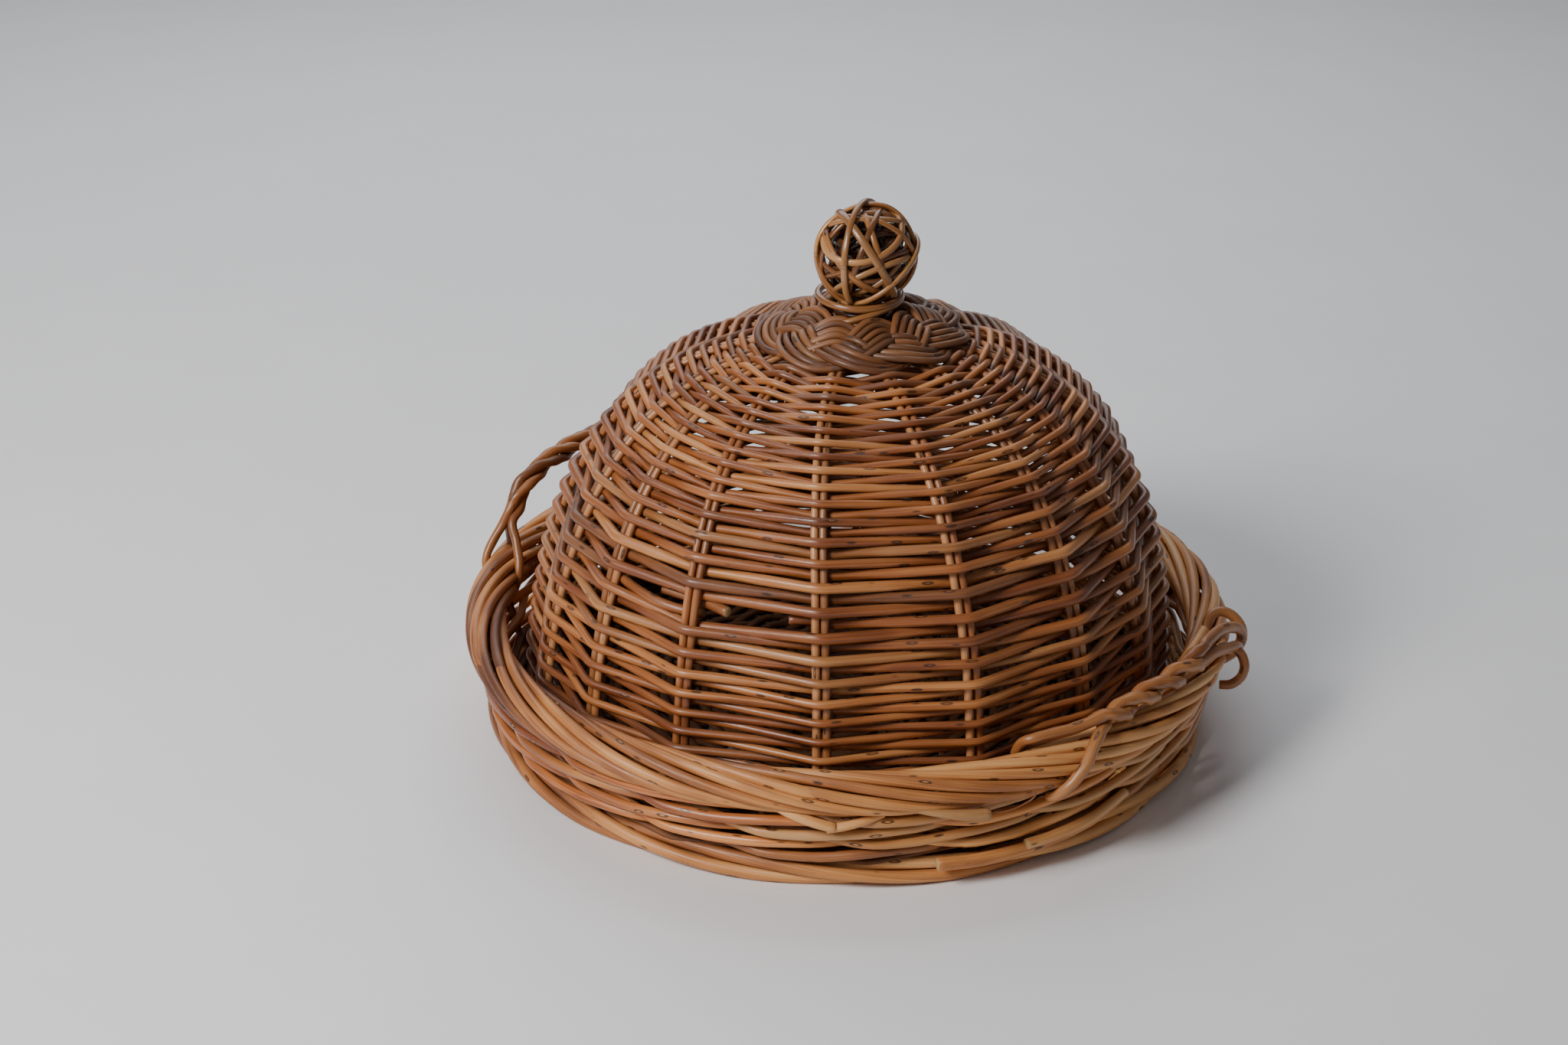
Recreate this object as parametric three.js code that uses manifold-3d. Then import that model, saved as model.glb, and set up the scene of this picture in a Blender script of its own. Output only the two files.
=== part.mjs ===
// A wicker cloche basket: a woven willow dome with a ball knob, standing in a round willow tray
// with two twisted rope handles.
// Millimetres, +Z up. The origin is on the ground under the middle of the tray, and +X runs
// through the two handles, towards the one that lies on the border.
import * as THREE from "three";
import { mergeVertices } from "three/addons/utils/BufferGeometryUtils.js";
import Module from "manifold-3d";

// Fits
const CLEARANCE = 0.3; // between two rods that touch
const ROW_GAP = 0.4; // between neighbouring rows of weave
const ROD_END_GAP = 0.8; // between the butted ends of two lengths of weaver
const LID_PLAY = 2; // between the dome and the inside of the tray's wall

// Dome
const LID_RADIUS = 165; // stake line at the foot of the dome
const LID_HEIGHT = 207; // stake line at the crown, above the ground
const LID_SIDE_POWER = 2.8; // how square the dome's shoulder is, across
const LID_RISE_POWER = 2.35; // and upwards
const LID_LEAN = 6.5; // how far the hand-woven crown stands off the middle
const LID_LEAN_TOWARDS = THREE.MathUtils.degToRad(35.5); // from +X
const STAKE_PAIRS = 16;
const STAKE_START = THREE.MathUtils.degToRad(8.2); // first pair, from +X
const STAKE_DRIFT = THREE.MathUtils.degToRad(3.5); // uneven spacing of the pairs
const STAKE_DRIFT_WAVES = 3;
const STAKE_DRIFT_START = THREE.MathUtils.degToRad(190);
const CROWN_TWIST = THREE.MathUtils.degToRad(-7); // how far the stakes lean round by the crown
const CROWN_DRIFT = THREE.MathUtils.degToRad(6); // and how unevenly
const CROWN_DRIFT_WAVES = 2;
const CROWN_DRIFT_START = THREE.MathUtils.degToRad(75);
const STAKE_FOOT = 4; // rod diameter at the foot
const STAKE_TIP = 2.8; // and at the crown
const STAKE_WAIST = 0.35; // between the rods of a pair, of a rod's radius
const STAKE_STEPS = 9;
const RIM_ROD = 6.8; // the hoop that the stakes are looped on
const FIRST_ROW = 3.4; // up the stakes from their foot
const ROW_PITCHES = [5.8, 4.4, 5, 5.9, 4.5, 3.6, 3.4, 3.6]; // from the foot up to the crown
const WEAVER_LENGTHS = 7; // lengths of rod that each of the two weavers takes

// Plaited ring round the crown
const PLAIT_OUTER_RADIUS = 58.5;
const PLAIT_INNER_RADIUS = 24.5;
const PLAIT_BANDS = 3;
const PLAIT_BAND_WIDTH = 11.5;
const PLAIT_BAND_SHARE = 0.34; // the widest a band can be, of the ring's width
const PLAIT_BAND_THICKNESS = 4;
const PLAIT_WAVES = 3;
const PLAIT_LIFT = 3.6; // how far a band rises and dips as it crosses the others

// Knob
const BALL_RADIUS = 27.5;
const BALL_SINK = 2; // how far the ball's rods settle into the binding
const BALL_ROD = 4;
const BALL_HOOPS = 5;
const HOOP_TIPS = [29, 80].map(THREE.MathUtils.degToRad); // of the ball's hoops, by turns
const BINDING_ROD = 3.8;
const BINDING_PITCH = 4.4;
const BINDING_TURNS = 5;
const BINDING_RADIUS = 20; // at the middle of the rod, or less to fit inside the plait
const CROSS_ROD = 4;
const CROSS_HOLD = 6; // how far the cross sticks reach under the ends of the stakes

// Tray
const FLOOR_HEIGHT = 12; // top of the floor above the ground
const FLOOR_THICKNESS = 7.2; // over a stick
const FLOOR_HOLLOW = 1.8; // how far each face dips between two sticks
const SLATH_RADIUS = 28; // where the crossed sticks at the middle begin to spread
const FOOT_THICKNESS = 14; // rope under the wall
const FOOT_STRANDS = 3;
const FOOT_WINDS = 4;
const FOOT_WEAR = 0.1; // worn flat where it stands, of a strand's diameter
const WALL_STAKES = 24;
const WALL_STAKE_ROD = 4.5;
const KNEE_TURN = THREE.MathUtils.degToRad(25); // round the foot, before the stake stands up
const WALL_ROD = 5.4;
const WALL_FLARE = 6; // how far the wall leans out over its height
const BORDER_THICKNESS = 22; // rolled edge
const BORDER_TOP = 64;
const BORDER_STRANDS = 6;
const BORDER_WINDS = 4;

// Handles
const LYING_HALF_ANGLE = THREE.MathUtils.degToRad(23); // of the border that the rope follows
const LYING_ROD = 4.7;
const LYING_STRANDS = 2;
const LYING_TWISTS = 4;
const STANDING_HALF_ANGLE = THREE.MathUtils.degToRad(18.5);
const STANDING_RISE = 40; // rope's middle above its ends
const STANDING_TAIL = 3; // how far its ends reach below the line that it turns on
const STANDING_SQUARENESS = 3.2; // of the arch
const STANDING_ROD = 3.9;
const STANDING_STRANDS = 3;
const STANDING_TWISTS = 4;
const TIE_ROD = 4;
const TIE_WRAP = THREE.MathUtils.degToRad(250); // how far a tie goes round the border

// Steps along and round the rods
const ROD_SIDES = 4;
const BORDER_STEPS = 36;
const FOOT_STEPS = 48;
const PLAIT_STEPS = 36;
const ROPE_STEPS = 24;
const HOOP_STEPS = 16;
const RIM_STEPS = 24;
const BINDING_STEPS = 20; // for each turn
const BINDING_SIDES = 6;
const TIE_STEPS = 8;

const wasm = await Module();
wasm.setup();

const basket = new THREE.Group();
const TURN = 2 * Math.PI;
const UP = new THREE.Vector3(0, 0, 1);

const willow = {
  stake: { color: 0xa8713a, roughness: 0.55 },
  weaver: { color: 0x97592a, roughness: 0.5 },
  plait: { color: 0x7d4e2a, roughness: 0.6 },
  knob: { color: 0x9c6631, roughness: 0.5 },
  floor: { color: 0x84512a, roughness: 0.65 },
  border: { color: 0xa0662f, roughness: 0.5 },
  handle: { color: 0xa56b35, roughness: 0.5 },
};

function add(name, geometry, finish) {
  const material = new THREE.MeshStandardMaterial({ ...finish, metalness: 0 });
  const mesh = new THREE.Mesh(geometry, material);
  mesh.name = name;
  basket.add(mesh);
}

// The hand-woven dome leans, so everything on the lid is sheared a little to one side.
function addToLid(name, geometry, finish) {
  const slope = LID_LEAN / LID_HEIGHT;
  const shear = new THREE.Matrix4().set(
    1, 0, slope * Math.cos(LID_LEAN_TOWARDS), 0,
    0, 1, slope * Math.sin(LID_LEAN_TOWARDS), 0,
    0, 0, 1, 0,
    0, 0, 0, 1,
  );
  add(name, geometry.applyMatrix4(shear), finish);
}

// Rings of points joined into one closed skin. An open run gets a flat cap at each end.
function skin(rings, closed = false) {
  const sides = rings[0].length;
  const points = rings.flat();
  const faces = [];
  const runs = closed ? rings.length : rings.length - 1;
  for (let i = 0; i < runs; i++) {
    const here = i * sides;
    const next = ((i + 1) % rings.length) * sides;
    for (let j = 0; j < sides; j++) {
      const k = (j + 1) % sides;
      faces.push(here + j, here + k, next + k, here + j, next + k, next + j);
    }
  }
  const last = (rings.length - 1) * sides;
  for (let j = 1; j < sides - 1 && !closed; j++) {
    faces.push(0, j + 1, j, last, last + j, last + j + 1);
  }
  const geometry = new THREE.BufferGeometry().setFromPoints(points);
  geometry.setIndex(volumeOf(points, faces) < 0 ? faces.reverse() : faces);
  geometry.computeVertexNormals();
  return geometry;
}

function volumeOf(points, faces) {
  let volume = 0;
  for (let i = 0; i < faces.length; i += 3) {
    const [a, b, c] = [points[faces[i]], points[faces[i + 1]], points[faces[i + 2]]];
    volume += a.dot(new THREE.Vector3().crossVectors(b, c)) / 6;
  }
  return volume;
}

// One ring of a rod's section: points at equal turns, from along towards across.
function section(centre, along, across, radius, flattened = radius, sides = ROD_SIDES) {
  return Array.from({ length: sides }, (_, i) => {
    const turn = (TURN * i) / sides;
    return centre
      .clone()
      .addScaledVector(along, radius * Math.cos(turn))
      .addScaledVector(across, flattened * Math.sin(turn));
  });
}

// Booleans
function toSolid(geometry) {
  const bare = geometry.clone();
  bare.deleteAttribute("normal");
  bare.deleteAttribute("uv");
  const merged = mergeVertices(bare);
  const vertProperties = new Float32Array(merged.attributes.position.array);
  const triVerts = new Uint32Array(merged.index.array);
  return new wasm.Manifold(new wasm.Mesh({ numProp: 3, vertProperties, triVerts }));
}

function toGeometry(solid) {
  const { vertProperties, triVerts } = solid.getMesh();
  const geometry = new THREE.BufferGeometry();
  geometry.setAttribute("position", new THREE.BufferAttribute(vertProperties, 3));
  geometry.setIndex(new THREE.BufferAttribute(triVerts, 1));
  return geometry;
}

function joined(geometries) {
  const solids = geometries.map(toSolid);
  return toGeometry(solids.slice(1).reduce((whole, solid) => whole.add(solid), solids[0]));
}

// Directions round the upright axis
const outwards = (angle) => new THREE.Vector3(Math.cos(angle), Math.sin(angle), 0);
const roundwards = (angle) => new THREE.Vector3(-Math.sin(angle), Math.cos(angle), 0);
const polar = (angle, radius, height) => outwards(angle).multiplyScalar(radius).setZ(height);

// A line of points in the plane of radius and height, with the direction up along it and the
// outward direction across it at each point.
function profileLine(points) {
  let length = 0;
  const stations = points.map((point, i) => {
    const before = points[Math.max(i - 1, 0)];
    const after = points[Math.min(i + 1, points.length - 1)];
    const up = new THREE.Vector2().subVectors(after, before).normalize();
    length += point.distanceTo(before);
    return { point, up, out: new THREE.Vector2(up.y, -up.x), length };
  });
  return { stations, length };
}

function alongLine(line, length) {
  const { stations } = line;
  const found = stations.findIndex((station) => station.length >= length);
  const next = Math.max(found < 0 ? stations.length - 1 : found, 1);
  const [a, b] = [stations[next - 1], stations[next]];
  const share = (length - a.length) / (b.length - a.length);
  const blend = (key) => new THREE.Vector2().lerpVectors(a[key], b[key], share);
  return { point: blend("point"), up: blend("up").normalize(), out: blend("out").normalize() };
}

// A point and directions of a profile line turned to an angle round the axis.
function turned(place, angle, offset = 0) {
  const { point, up, out } = place;
  const lift = (v) => polar(angle, v.x, v.y);
  return {
    centre: lift(point.clone().addScaledVector(out, offset)),
    up: lift(up),
    out: lift(out),
    round: roundwards(angle),
  };
}

// Dome: the line that the stakes follow, from the hoop at their foot up to the plaited ring
const rimBottom = FLOOR_HEIGHT + CLEARANCE;
const stakeFoot = rimBottom + RIM_ROD + CLEARANCE;
const plaitWidth = PLAIT_OUTER_RADIUS - PLAIT_INNER_RADIUS;
const bandWidth = Math.min(PLAIT_BAND_WIDTH, PLAIT_BAND_SHARE * plaitWidth);
const stakeEndRadius = PLAIT_INNER_RADIUS + bandWidth / 2;
const steepnessAtHeight = (z) => Math.asin((z / LID_HEIGHT) ** (LID_RISE_POWER / 2));
const steepnessAtRadius = (r) => Math.acos((r / LID_RADIUS) ** (LID_SIDE_POWER / 2));

function domePoint(steepness) {
  const radius = LID_RADIUS * Math.cos(steepness) ** (2 / LID_SIDE_POWER);
  const height = LID_HEIGHT * Math.sin(steepness) ** (2 / LID_RISE_POWER);
  return new THREE.Vector2(radius, height);
}

function domeLine() {
  const first = steepnessAtHeight(stakeFoot);
  const last = steepnessAtRadius(stakeEndRadius);
  const points = [];
  for (let i = 0; i <= STAKE_STEPS; i++) {
    points.push(domePoint(THREE.MathUtils.lerp(first, last, i / STAKE_STEPS)));
  }
  return profileLine(points);
}

const dome = domeLine();
const stakeRodAt = (length) => THREE.MathUtils.lerp(STAKE_FOOT, STAKE_TIP, length / dome.length);

// The pairs stand unevenly, and lean round the dome a little on their way up
function stakeAngle(pair, length) {
  const even = (TURN * pair) / STAKE_PAIRS;
  const drift = STAKE_DRIFT * Math.sin(STAKE_DRIFT_WAVES * even + STAKE_DRIFT_START);
  const lean = CROWN_TWIST + CROWN_DRIFT * Math.sin(CROWN_DRIFT_WAVES * even + CROWN_DRIFT_START);
  return STAKE_START + even + drift + lean * (length / dome.length) ** 2;
}

// Two rods side by side, drawn as one outline with a waist
function twinSection(at, rod) {
  const radius = rod / 2;
  const waist = STAKE_WAIST * radius;
  const outline = [
    [-rod, 0], [-radius, radius], [0, waist], [radius, radius],
    [rod, 0], [radius, -radius], [0, -waist], [-radius, -radius],
  ];
  return outline.map(([x, y]) => at.centre.clone().addScaledVector(at.round, x).addScaledVector(at.out, y));
}

function addStakes() {
  for (let pair = 0; pair < STAKE_PAIRS; pair++) {
    const rings = dome.stations.map((station) =>
      twinSection(turned(station, stakeAngle(pair, station.length)), stakeRodAt(station.length)),
    );
    const number = String(pair + 1).padStart(2, "0");
    addToLid(`lid_stake_pair_${number}`, skin(rings), willow.stake);
  }
}

function addRim() {
  const rings = [];
  for (let i = 0; i < RIM_STEPS; i++) {
    const angle = (TURN * i) / RIM_STEPS;
    const centre = polar(angle, LID_RADIUS, rimBottom + RIM_ROD / 2);
    rings.push(section(centre, UP, outwards(angle), RIM_ROD / 2));
  }
  addToLid("lid_rim_hoop", skin(rings, true), willow.stake);
}

// Rows of weave: their places up the stake line, a pitch apart
function rowPitch(length) {
  const place = (length / dome.length) * (ROW_PITCHES.length - 1);
  const lower = Math.min(Math.floor(place), ROW_PITCHES.length - 2);
  return THREE.MathUtils.lerp(ROW_PITCHES[lower], ROW_PITCHES[lower + 1], place - lower);
}

function rowPlaces() {
  const clearOfPlait = PLAIT_OUTER_RADIUS + CLEARANCE + rowPitch(dome.length);
  const places = [FIRST_ROW];
  for (;;) {
    const last = places[places.length - 1];
    const next = last + rowPitch(last);
    if (alongLine(dome, next).point.x < clearOfPlait) return places;
    places.push(next);
  }
}

const rows = rowPlaces();

function rowPlace(row) {
  const lower = THREE.MathUtils.clamp(Math.floor(row), 0, rows.length - 2);
  return THREE.MathUtils.lerp(rows[lower], rows[lower + 1], row - lower);
}

// A weaver stands off the stake line by half of each rod, and a little further where it bends
// at a pair, to clear the pair's two rods. The dome's roundness bends it outside and not inside.
function weaverOffset(length, step, side) {
  const { point, out } = alongLine(dome, length);
  const stake = stakeRodAt(length) / 2;
  const flat = stake + (rowPitch(length) - ROW_GAP) / 2 + CLEARANCE;
  const here = stakeAngle(step, length);
  const slopes = [-1, 1].map((next) => {
    const span = Math.abs(stakeAngle(step + next, length) - here);
    const roundness = side * out.x * point.x * (1 - Math.cos(span));
    return (2 * flat + roundness) / (point.x * Math.sin(span) - stake);
  });
  const slope = Math.max(...slopes, 0);
  return side * (flat + Math.max(slope * stake, slope * 2 * stake - stake));
}

function weaverAt(step, helix) {
  const length = rowPlace((2 * step) / STAKE_PAIRS + helix);
  const side = (step + helix) % 2 === 0 ? 1 : -1;
  const place = alongLine(dome, length);
  const at = turned(place, stakeAngle(step, length), weaverOffset(length, step, side));
  return { ...at, radius: (rowPitch(length) - ROW_GAP) / 2 };
}

// Two weavers chase each other up the dome, a row apart, and pass each pair of stakes on
// opposite sides. Each starts and ends at its own side of the dome.
function addWeavers() {
  const steps = Math.floor(((rows.length - 1) * STAKE_PAIRS) / 2);
  for (let helix = 0; helix < 2; helix++) {
    const start = (-helix * STAKE_PAIRS) / 2;
    const cuts = [];
    for (let i = 0; i <= WEAVER_LENGTHS; i++) {
      const even = 2 * Math.round((steps * i) / WEAVER_LENGTHS / 2);
      cuts.push(start + even + 1 - helix);
    }
    for (let i = 0; i < WEAVER_LENGTHS; i++) {
      const letter = "ab"[helix];
      addToLid(`lid_weaver_${letter}${i + 1}`, weaverLength(cuts[i], cuts[i + 1], helix), willow.weaver);
    }
  }
}

function weaverLength(from, to, helix) {
  const stations = [];
  for (let step = from; step <= to; step++) {
    stations.push(weaverAt(step, helix));
  }
  drawBack(stations[0], stations[1]);
  drawBack(stations[stations.length - 1], stations[stations.length - 2]);
  return skin(stations.map((at) => section(at.centre, at.out, at.up, at.radius)));
}

function drawBack(end, inner) {
  const away = new THREE.Vector3().subVectors(inner.centre, end.centre).normalize();
  end.centre.addScaledVector(away, ROD_END_GAP / 2);
}

// Crown: three bands plaited into a ring that lies on the ends of the stakes
const plaitSwing = (plaitWidth - bandWidth) / 2;
const plaitRadius = (PLAIT_OUTER_RADIUS + PLAIT_INNER_RADIUS) / 2;
const plaitRise = STAKE_TIP / 2 + CLEARANCE + PLAIT_BAND_THICKNESS / 2 + PLAIT_LIFT; // off the stakes

function plaitPoint(angle, band) {
  const wave = PLAIT_WAVES * angle + (TURN * band) / PLAIT_BANDS;
  const radius = plaitRadius + plaitSwing * Math.sin(wave);
  const stakes = domePoint(steepnessAtRadius(radius)).y;
  return polar(angle, radius, stakes + plaitRise + PLAIT_LIFT * Math.sin(2 * wave));
}

function addPlait() {
  for (let band = 0; band < PLAIT_BANDS; band++) {
    const rings = [];
    for (let i = 0; i < PLAIT_STEPS; i++) {
      const angle = (TURN * i) / PLAIT_STEPS;
      const step = TURN / PLAIT_STEPS / 2;
      const ahead = plaitPoint(angle + step, band).sub(plaitPoint(angle - step, band)).setZ(0);
      const across = ahead.normalize().cross(UP);
      const centre = plaitPoint(angle, band);
      rings.push(section(centre, UP, across, PLAIT_BAND_THICKNESS / 2, bandWidth / 2));
    }
    addToLid(`lid_plait_band_${band + 1}`, skin(rings, true), willow.plait);
  }
}

// Knob: cross sticks under the ends of the stakes, a wound binding on them and the ball in it
const crossRadius = stakeEndRadius + CROSS_HOLD;
const crossSeat = domePoint(steepnessAtRadius(crossRadius)).y - STAKE_TIP / 2;
const crossMiddle = crossSeat - CLEARANCE - CROSS_ROD / 2;
const bindingRadius = Math.min(BINDING_RADIUS, PLAIT_INNER_RADIUS - CLEARANCE - BINDING_ROD / 2);
const bindingBottom = crossMiddle + CROSS_ROD / 2 + CLEARANCE;
const bindingFirst = bindingBottom + BINDING_ROD / 2;
const bindingTop = bindingFirst + BINDING_PITCH * BINDING_TURNS + BINDING_ROD / 2;
const ballSeat = bindingRadius - BINDING_ROD / 2 - CLEARANCE;
const ballMiddle = bindingTop - BALL_SINK + Math.sqrt(BALL_RADIUS ** 2 - ballSeat ** 2);

// Each stick runs under the ends of two opposite pairs of stakes
function addCross() {
  const sticks = [0, STAKE_PAIRS / 4].map((pair) => {
    const [from, to] = [pair, pair + STAKE_PAIRS / 2].map((at) =>
      polar(stakeAngle(at, dome.length), crossRadius, crossMiddle),
    );
    const across = new THREE.Vector3().subVectors(to, from).normalize().cross(UP);
    return skin([from, to].map((end) => section(end, UP, across, CROSS_ROD / 2)));
  });
  addToLid("knob_cross_sticks", joined(sticks), willow.knob);
}

function addBinding() {
  const count = BINDING_TURNS * BINDING_STEPS;
  const rings = [];
  const middles = [];
  for (let i = 0; i <= count; i++) {
    const angle = (TURN * i) / BINDING_STEPS;
    const centre = polar(angle, bindingRadius, bindingFirst + (BINDING_PITCH * i) / BINDING_STEPS);
    middles.push(centre);
    rings.push(section(centre, UP, outwards(angle), BINDING_ROD / 2, BINDING_ROD / 2, BINDING_SIDES));
  }
  addToLid("knob_binding", skin(rings), willow.knob);
  console.log(`least gap between the binding's turns: ${leastGap(middles).toFixed(2)} mm`);
}

function leastGap(middles) {
  let least = Infinity;
  for (let i = 0; i < middles.length; i++) {
    for (let j = i + BINDING_STEPS / 2; j < middles.length; j++) {
      least = Math.min(least, middles[i].distanceTo(middles[j]));
    }
  }
  return least - BINDING_ROD;
}

// Hoops through the ball's middle, each tipped by its own amount and turned a step further
function addBall() {
  const hoops = [];
  for (let hoop = 0; hoop < BALL_HOOPS; hoop++) {
    const rings = [];
    const tipped = HOOP_TIPS[hoop % HOOP_TIPS.length];
    const tip = new THREE.Euler(tipped, 0, (Math.PI * hoop) / BALL_HOOPS, "ZYX");
    for (let i = 0; i < HOOP_STEPS; i++) {
      const out = outwards((TURN * i) / HOOP_STEPS).applyEuler(tip);
      const axis = UP.clone().applyEuler(tip);
      const centre = out.clone().multiplyScalar(BALL_RADIUS - BALL_ROD / 2);
      rings.push(section(centre.setZ(centre.z + ballMiddle), out, axis, BALL_ROD / 2));
    }
    hoops.push(skin(rings, true));
  }
  addToLid("knob_ball", joined(hoops), willow.knob);
}

// Tray: the wall stands outside the dome, the foot under the wall and the border on top of it
const widestRow = Math.max(...ROW_PITCHES) - ROW_GAP;
const lidReach = LID_RADIUS + weaverOffset(FIRST_ROW, 0, 1) + widestRow / 2;
const wallReach = WALL_STAKE_ROD / 2 + CLEARANCE + WALL_ROD;
const wallFootRadius = lidReach + LID_PLAY + wallReach;
const borderRadius = wallFootRadius + WALL_FLARE;
const borderMiddle = BORDER_TOP - BORDER_THICKNESS / 2;
const wallTop = BORDER_TOP - BORDER_THICKNESS - CLEARANCE;

// The largest rods that lie round a rope's middle without touching each other
function strandRadius(thickness, strands) {
  const spread = Math.sin(Math.PI / strands);
  return (thickness * spread - CLEARANCE) / (2 * (1 + spread));
}

function strandRing(radius, middle, thickness, strands, winds, steps, strand) {
  const rod = strandRadius(thickness, strands);
  const rings = [];
  for (let i = 0; i < steps; i++) {
    const angle = (TURN * i) / steps;
    const lay = (TURN * strand) / strands - winds * angle - TURN / 4;
    const out = outwards(angle).multiplyScalar(Math.cos(lay)).addScaledVector(UP, Math.sin(lay));
    const side = outwards(angle).multiplyScalar(-Math.sin(lay)).addScaledVector(UP, Math.cos(lay));
    const centre = polar(angle, radius, middle).addScaledVector(out, thickness / 2 - rod);
    rings.push(section(centre, out, side, rod));
  }
  return skin(rings, true);
}

const footRod = 2 * strandRadius(FOOT_THICKNESS, FOOT_STRANDS);
const footMiddle = FOOT_THICKNESS / 2 - FOOT_WEAR * footRod;

function addFoot() {
  const size = 4 * wallFootRadius;
  const ground = new THREE.BoxGeometry(size, size, FOOT_THICKNESS).translate(0, 0, -FOOT_THICKNESS / 2);
  const below = toSolid(ground);
  for (let strand = 0; strand < FOOT_STRANDS; strand++) {
    const ring = strandRing(
      wallFootRadius, footMiddle, FOOT_THICKNESS, FOOT_STRANDS, FOOT_WINDS, FOOT_STEPS, strand,
    );
    add(`tray_foot_strand_${strand + 1}`, toGeometry(toSolid(ring).subtract(below)), willow.border);
  }
}

function addBorder() {
  for (let strand = 0; strand < BORDER_STRANDS; strand++) {
    const ring = strandRing(
      borderRadius, borderMiddle, BORDER_THICKNESS, BORDER_STRANDS, BORDER_WINDS, BORDER_STEPS, strand,
    );
    add(`tray_border_strand_${strand + 1}`, ring, willow.border);
  }
}

// The floor's sticks turn up over the foot and become the wall's stakes
const floorRadius = wallFootRadius - FOOT_THICKNESS / 2 - CLEARANCE;
const kneeBend = (FOOT_THICKNESS / 2 + CLEARANCE) / Math.cos(KNEE_TURN / 2) + WALL_STAKE_ROD / 2;
const floorMiddle = FLOOR_HEIGHT - FLOOR_THICKNESS / 2;

const wall = profileLine([
  new THREE.Vector2(wallFootRadius, footMiddle + kneeBend),
  new THREE.Vector2(borderRadius, wallTop),
]);

function wallStake(angle) {
  const inside = new THREE.Vector2(floorRadius - FLOOR_THICKNESS, FLOOR_HEIGHT - WALL_STAKE_ROD / 2);
  const knee = new THREE.Vector2(-Math.sin(KNEE_TURN), Math.cos(KNEE_TURN)).multiplyScalar(kneeBend);
  knee.add(new THREE.Vector2(wallFootRadius, footMiddle));
  const points = [inside, knee, ...wall.stations.map((station) => station.point)];
  const rings = profileLine(points).stations.map((station) => {
    const at = turned(station, angle);
    return section(at.centre, at.out, at.round, WALL_STAKE_ROD / 2);
  });
  return skin(rings);
}

// Every second point round the floor is on a stick, and the others are in the hollows
function floorDisc() {
  const half = FLOOR_THICKNESS / 2;
  const edge = [
    new THREE.Vector2(0, -half),
    new THREE.Vector2(SLATH_RADIUS, -half),
    new THREE.Vector2(floorRadius - half, -half),
    new THREE.Vector2(floorRadius, 0),
    new THREE.Vector2(floorRadius - half, half),
    new THREE.Vector2(SLATH_RADIUS, half),
    new THREE.Vector2(0, half),
  ];
  const disc = new THREE.LatheGeometry(edge, 2 * WALL_STAKES).rotateX(Math.PI / 2);
  const points = disc.attributes.position;
  for (let i = 0; i < points.count; i++) {
    const place = Math.round((Math.atan2(points.getY(i), points.getX(i)) / TURN) * 2 * WALL_STAKES);
    const hollow = place % 2 !== 0 && Math.hypot(points.getX(i), points.getY(i)) > SLATH_RADIUS + half;
    points.setZ(i, floorMiddle + points.getZ(i) * (hollow ? 1 - FLOOR_HOLLOW / half : 1));
  }
  return disc;
}

function addFloor() {
  const stakes = Array.from({ length: WALL_STAKES }, (_, i) => wallStake((TURN * i) / WALL_STAKES));
  add("tray_floor_and_stakes", joined([floorDisc(), ...stakes]), willow.floor);
}

function addWall() {
  const pitch = WALL_ROD + ROW_GAP;
  const count = Math.floor((wall.length - CLEARANCE) / pitch);
  const spare = wall.length - count * pitch;
  for (let row = 0; row < count; row++) {
    const place = alongLine(wall, spare / 2 + (row + 0.5) * pitch);
    const rings = [];
    for (let i = 0; i < WALL_STAKES; i++) {
      const side = (i + row) % 2 === 0 ? 1 : -1;
      const standOff = side * (WALL_STAKE_ROD / 2 + CLEARANCE + WALL_ROD / 2);
      const at = turned(place, (TURN * i) / WALL_STAKES, standOff);
      rings.push(section(at.centre, at.out, at.up, WALL_ROD / 2));
    }
    add(`tray_wall_weaver_${row + 1}`, skin(rings, true), willow.weaver);
  }
}

// Handles: strands twisted round a line, which is an arc on the border or an arch over it
function twistedStrand(line, rod, strands, twists, strand) {
  const lay = rod / 2 + CLEARANCE / 2;
  const spread = lay / Math.sin(Math.PI / strands);
  const rings = [];
  for (let i = 0; i <= ROPE_STEPS; i++) {
    const share = i / ROPE_STEPS;
    const { centre, ahead, side } = line(share);
    const across = new THREE.Vector3().crossVectors(ahead, side);
    const turn = TURN * (twists * share + strand / strands) - TURN / 4;
    const out = side.clone().multiplyScalar(Math.cos(turn)).addScaledVector(across, Math.sin(turn));
    const round = new THREE.Vector3().crossVectors(ahead, out);
    rings.push(section(centre.addScaledVector(out, spread), out, round, rod / 2));
  }
  return skin(rings);
}

const ropeRadius = (rod, strands) => rod / 2 + (rod + CLEARANCE) / 2 / Math.sin(Math.PI / strands);

const lyingHeight = BORDER_TOP + CLEARANCE + ropeRadius(LYING_ROD, LYING_STRANDS);

function lyingLine(share) {
  const angle = THREE.MathUtils.lerp(-LYING_HALF_ANGLE, LYING_HALF_ANGLE, share);
  const centre = polar(angle, borderRadius, lyingHeight);
  return { centre, ahead: roundwards(angle), side: outwards(angle) };
}

const standingReach = Math.hypot(ropeRadius(STANDING_ROD, STANDING_STRANDS), STANDING_TAIL);
const standingFoot = BORDER_TOP + CLEARANCE + standingReach - STANDING_TAIL;
const standingHalfSpan = borderRadius * Math.sin(STANDING_HALF_ANGLE);
const standingDistance = borderRadius * Math.cos(STANDING_HALF_ANGLE);

function standingPoint(share) {
  const turn = Math.PI * (1 - share);
  const power = 2 / STANDING_SQUARENESS;
  const along = Math.sign(Math.cos(turn)) * Math.abs(Math.cos(turn)) ** power;
  const height = standingFoot + STANDING_RISE * Math.abs(Math.sin(turn)) ** power;
  return new THREE.Vector3(-standingDistance, standingHalfSpan * along, height);
}

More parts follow.
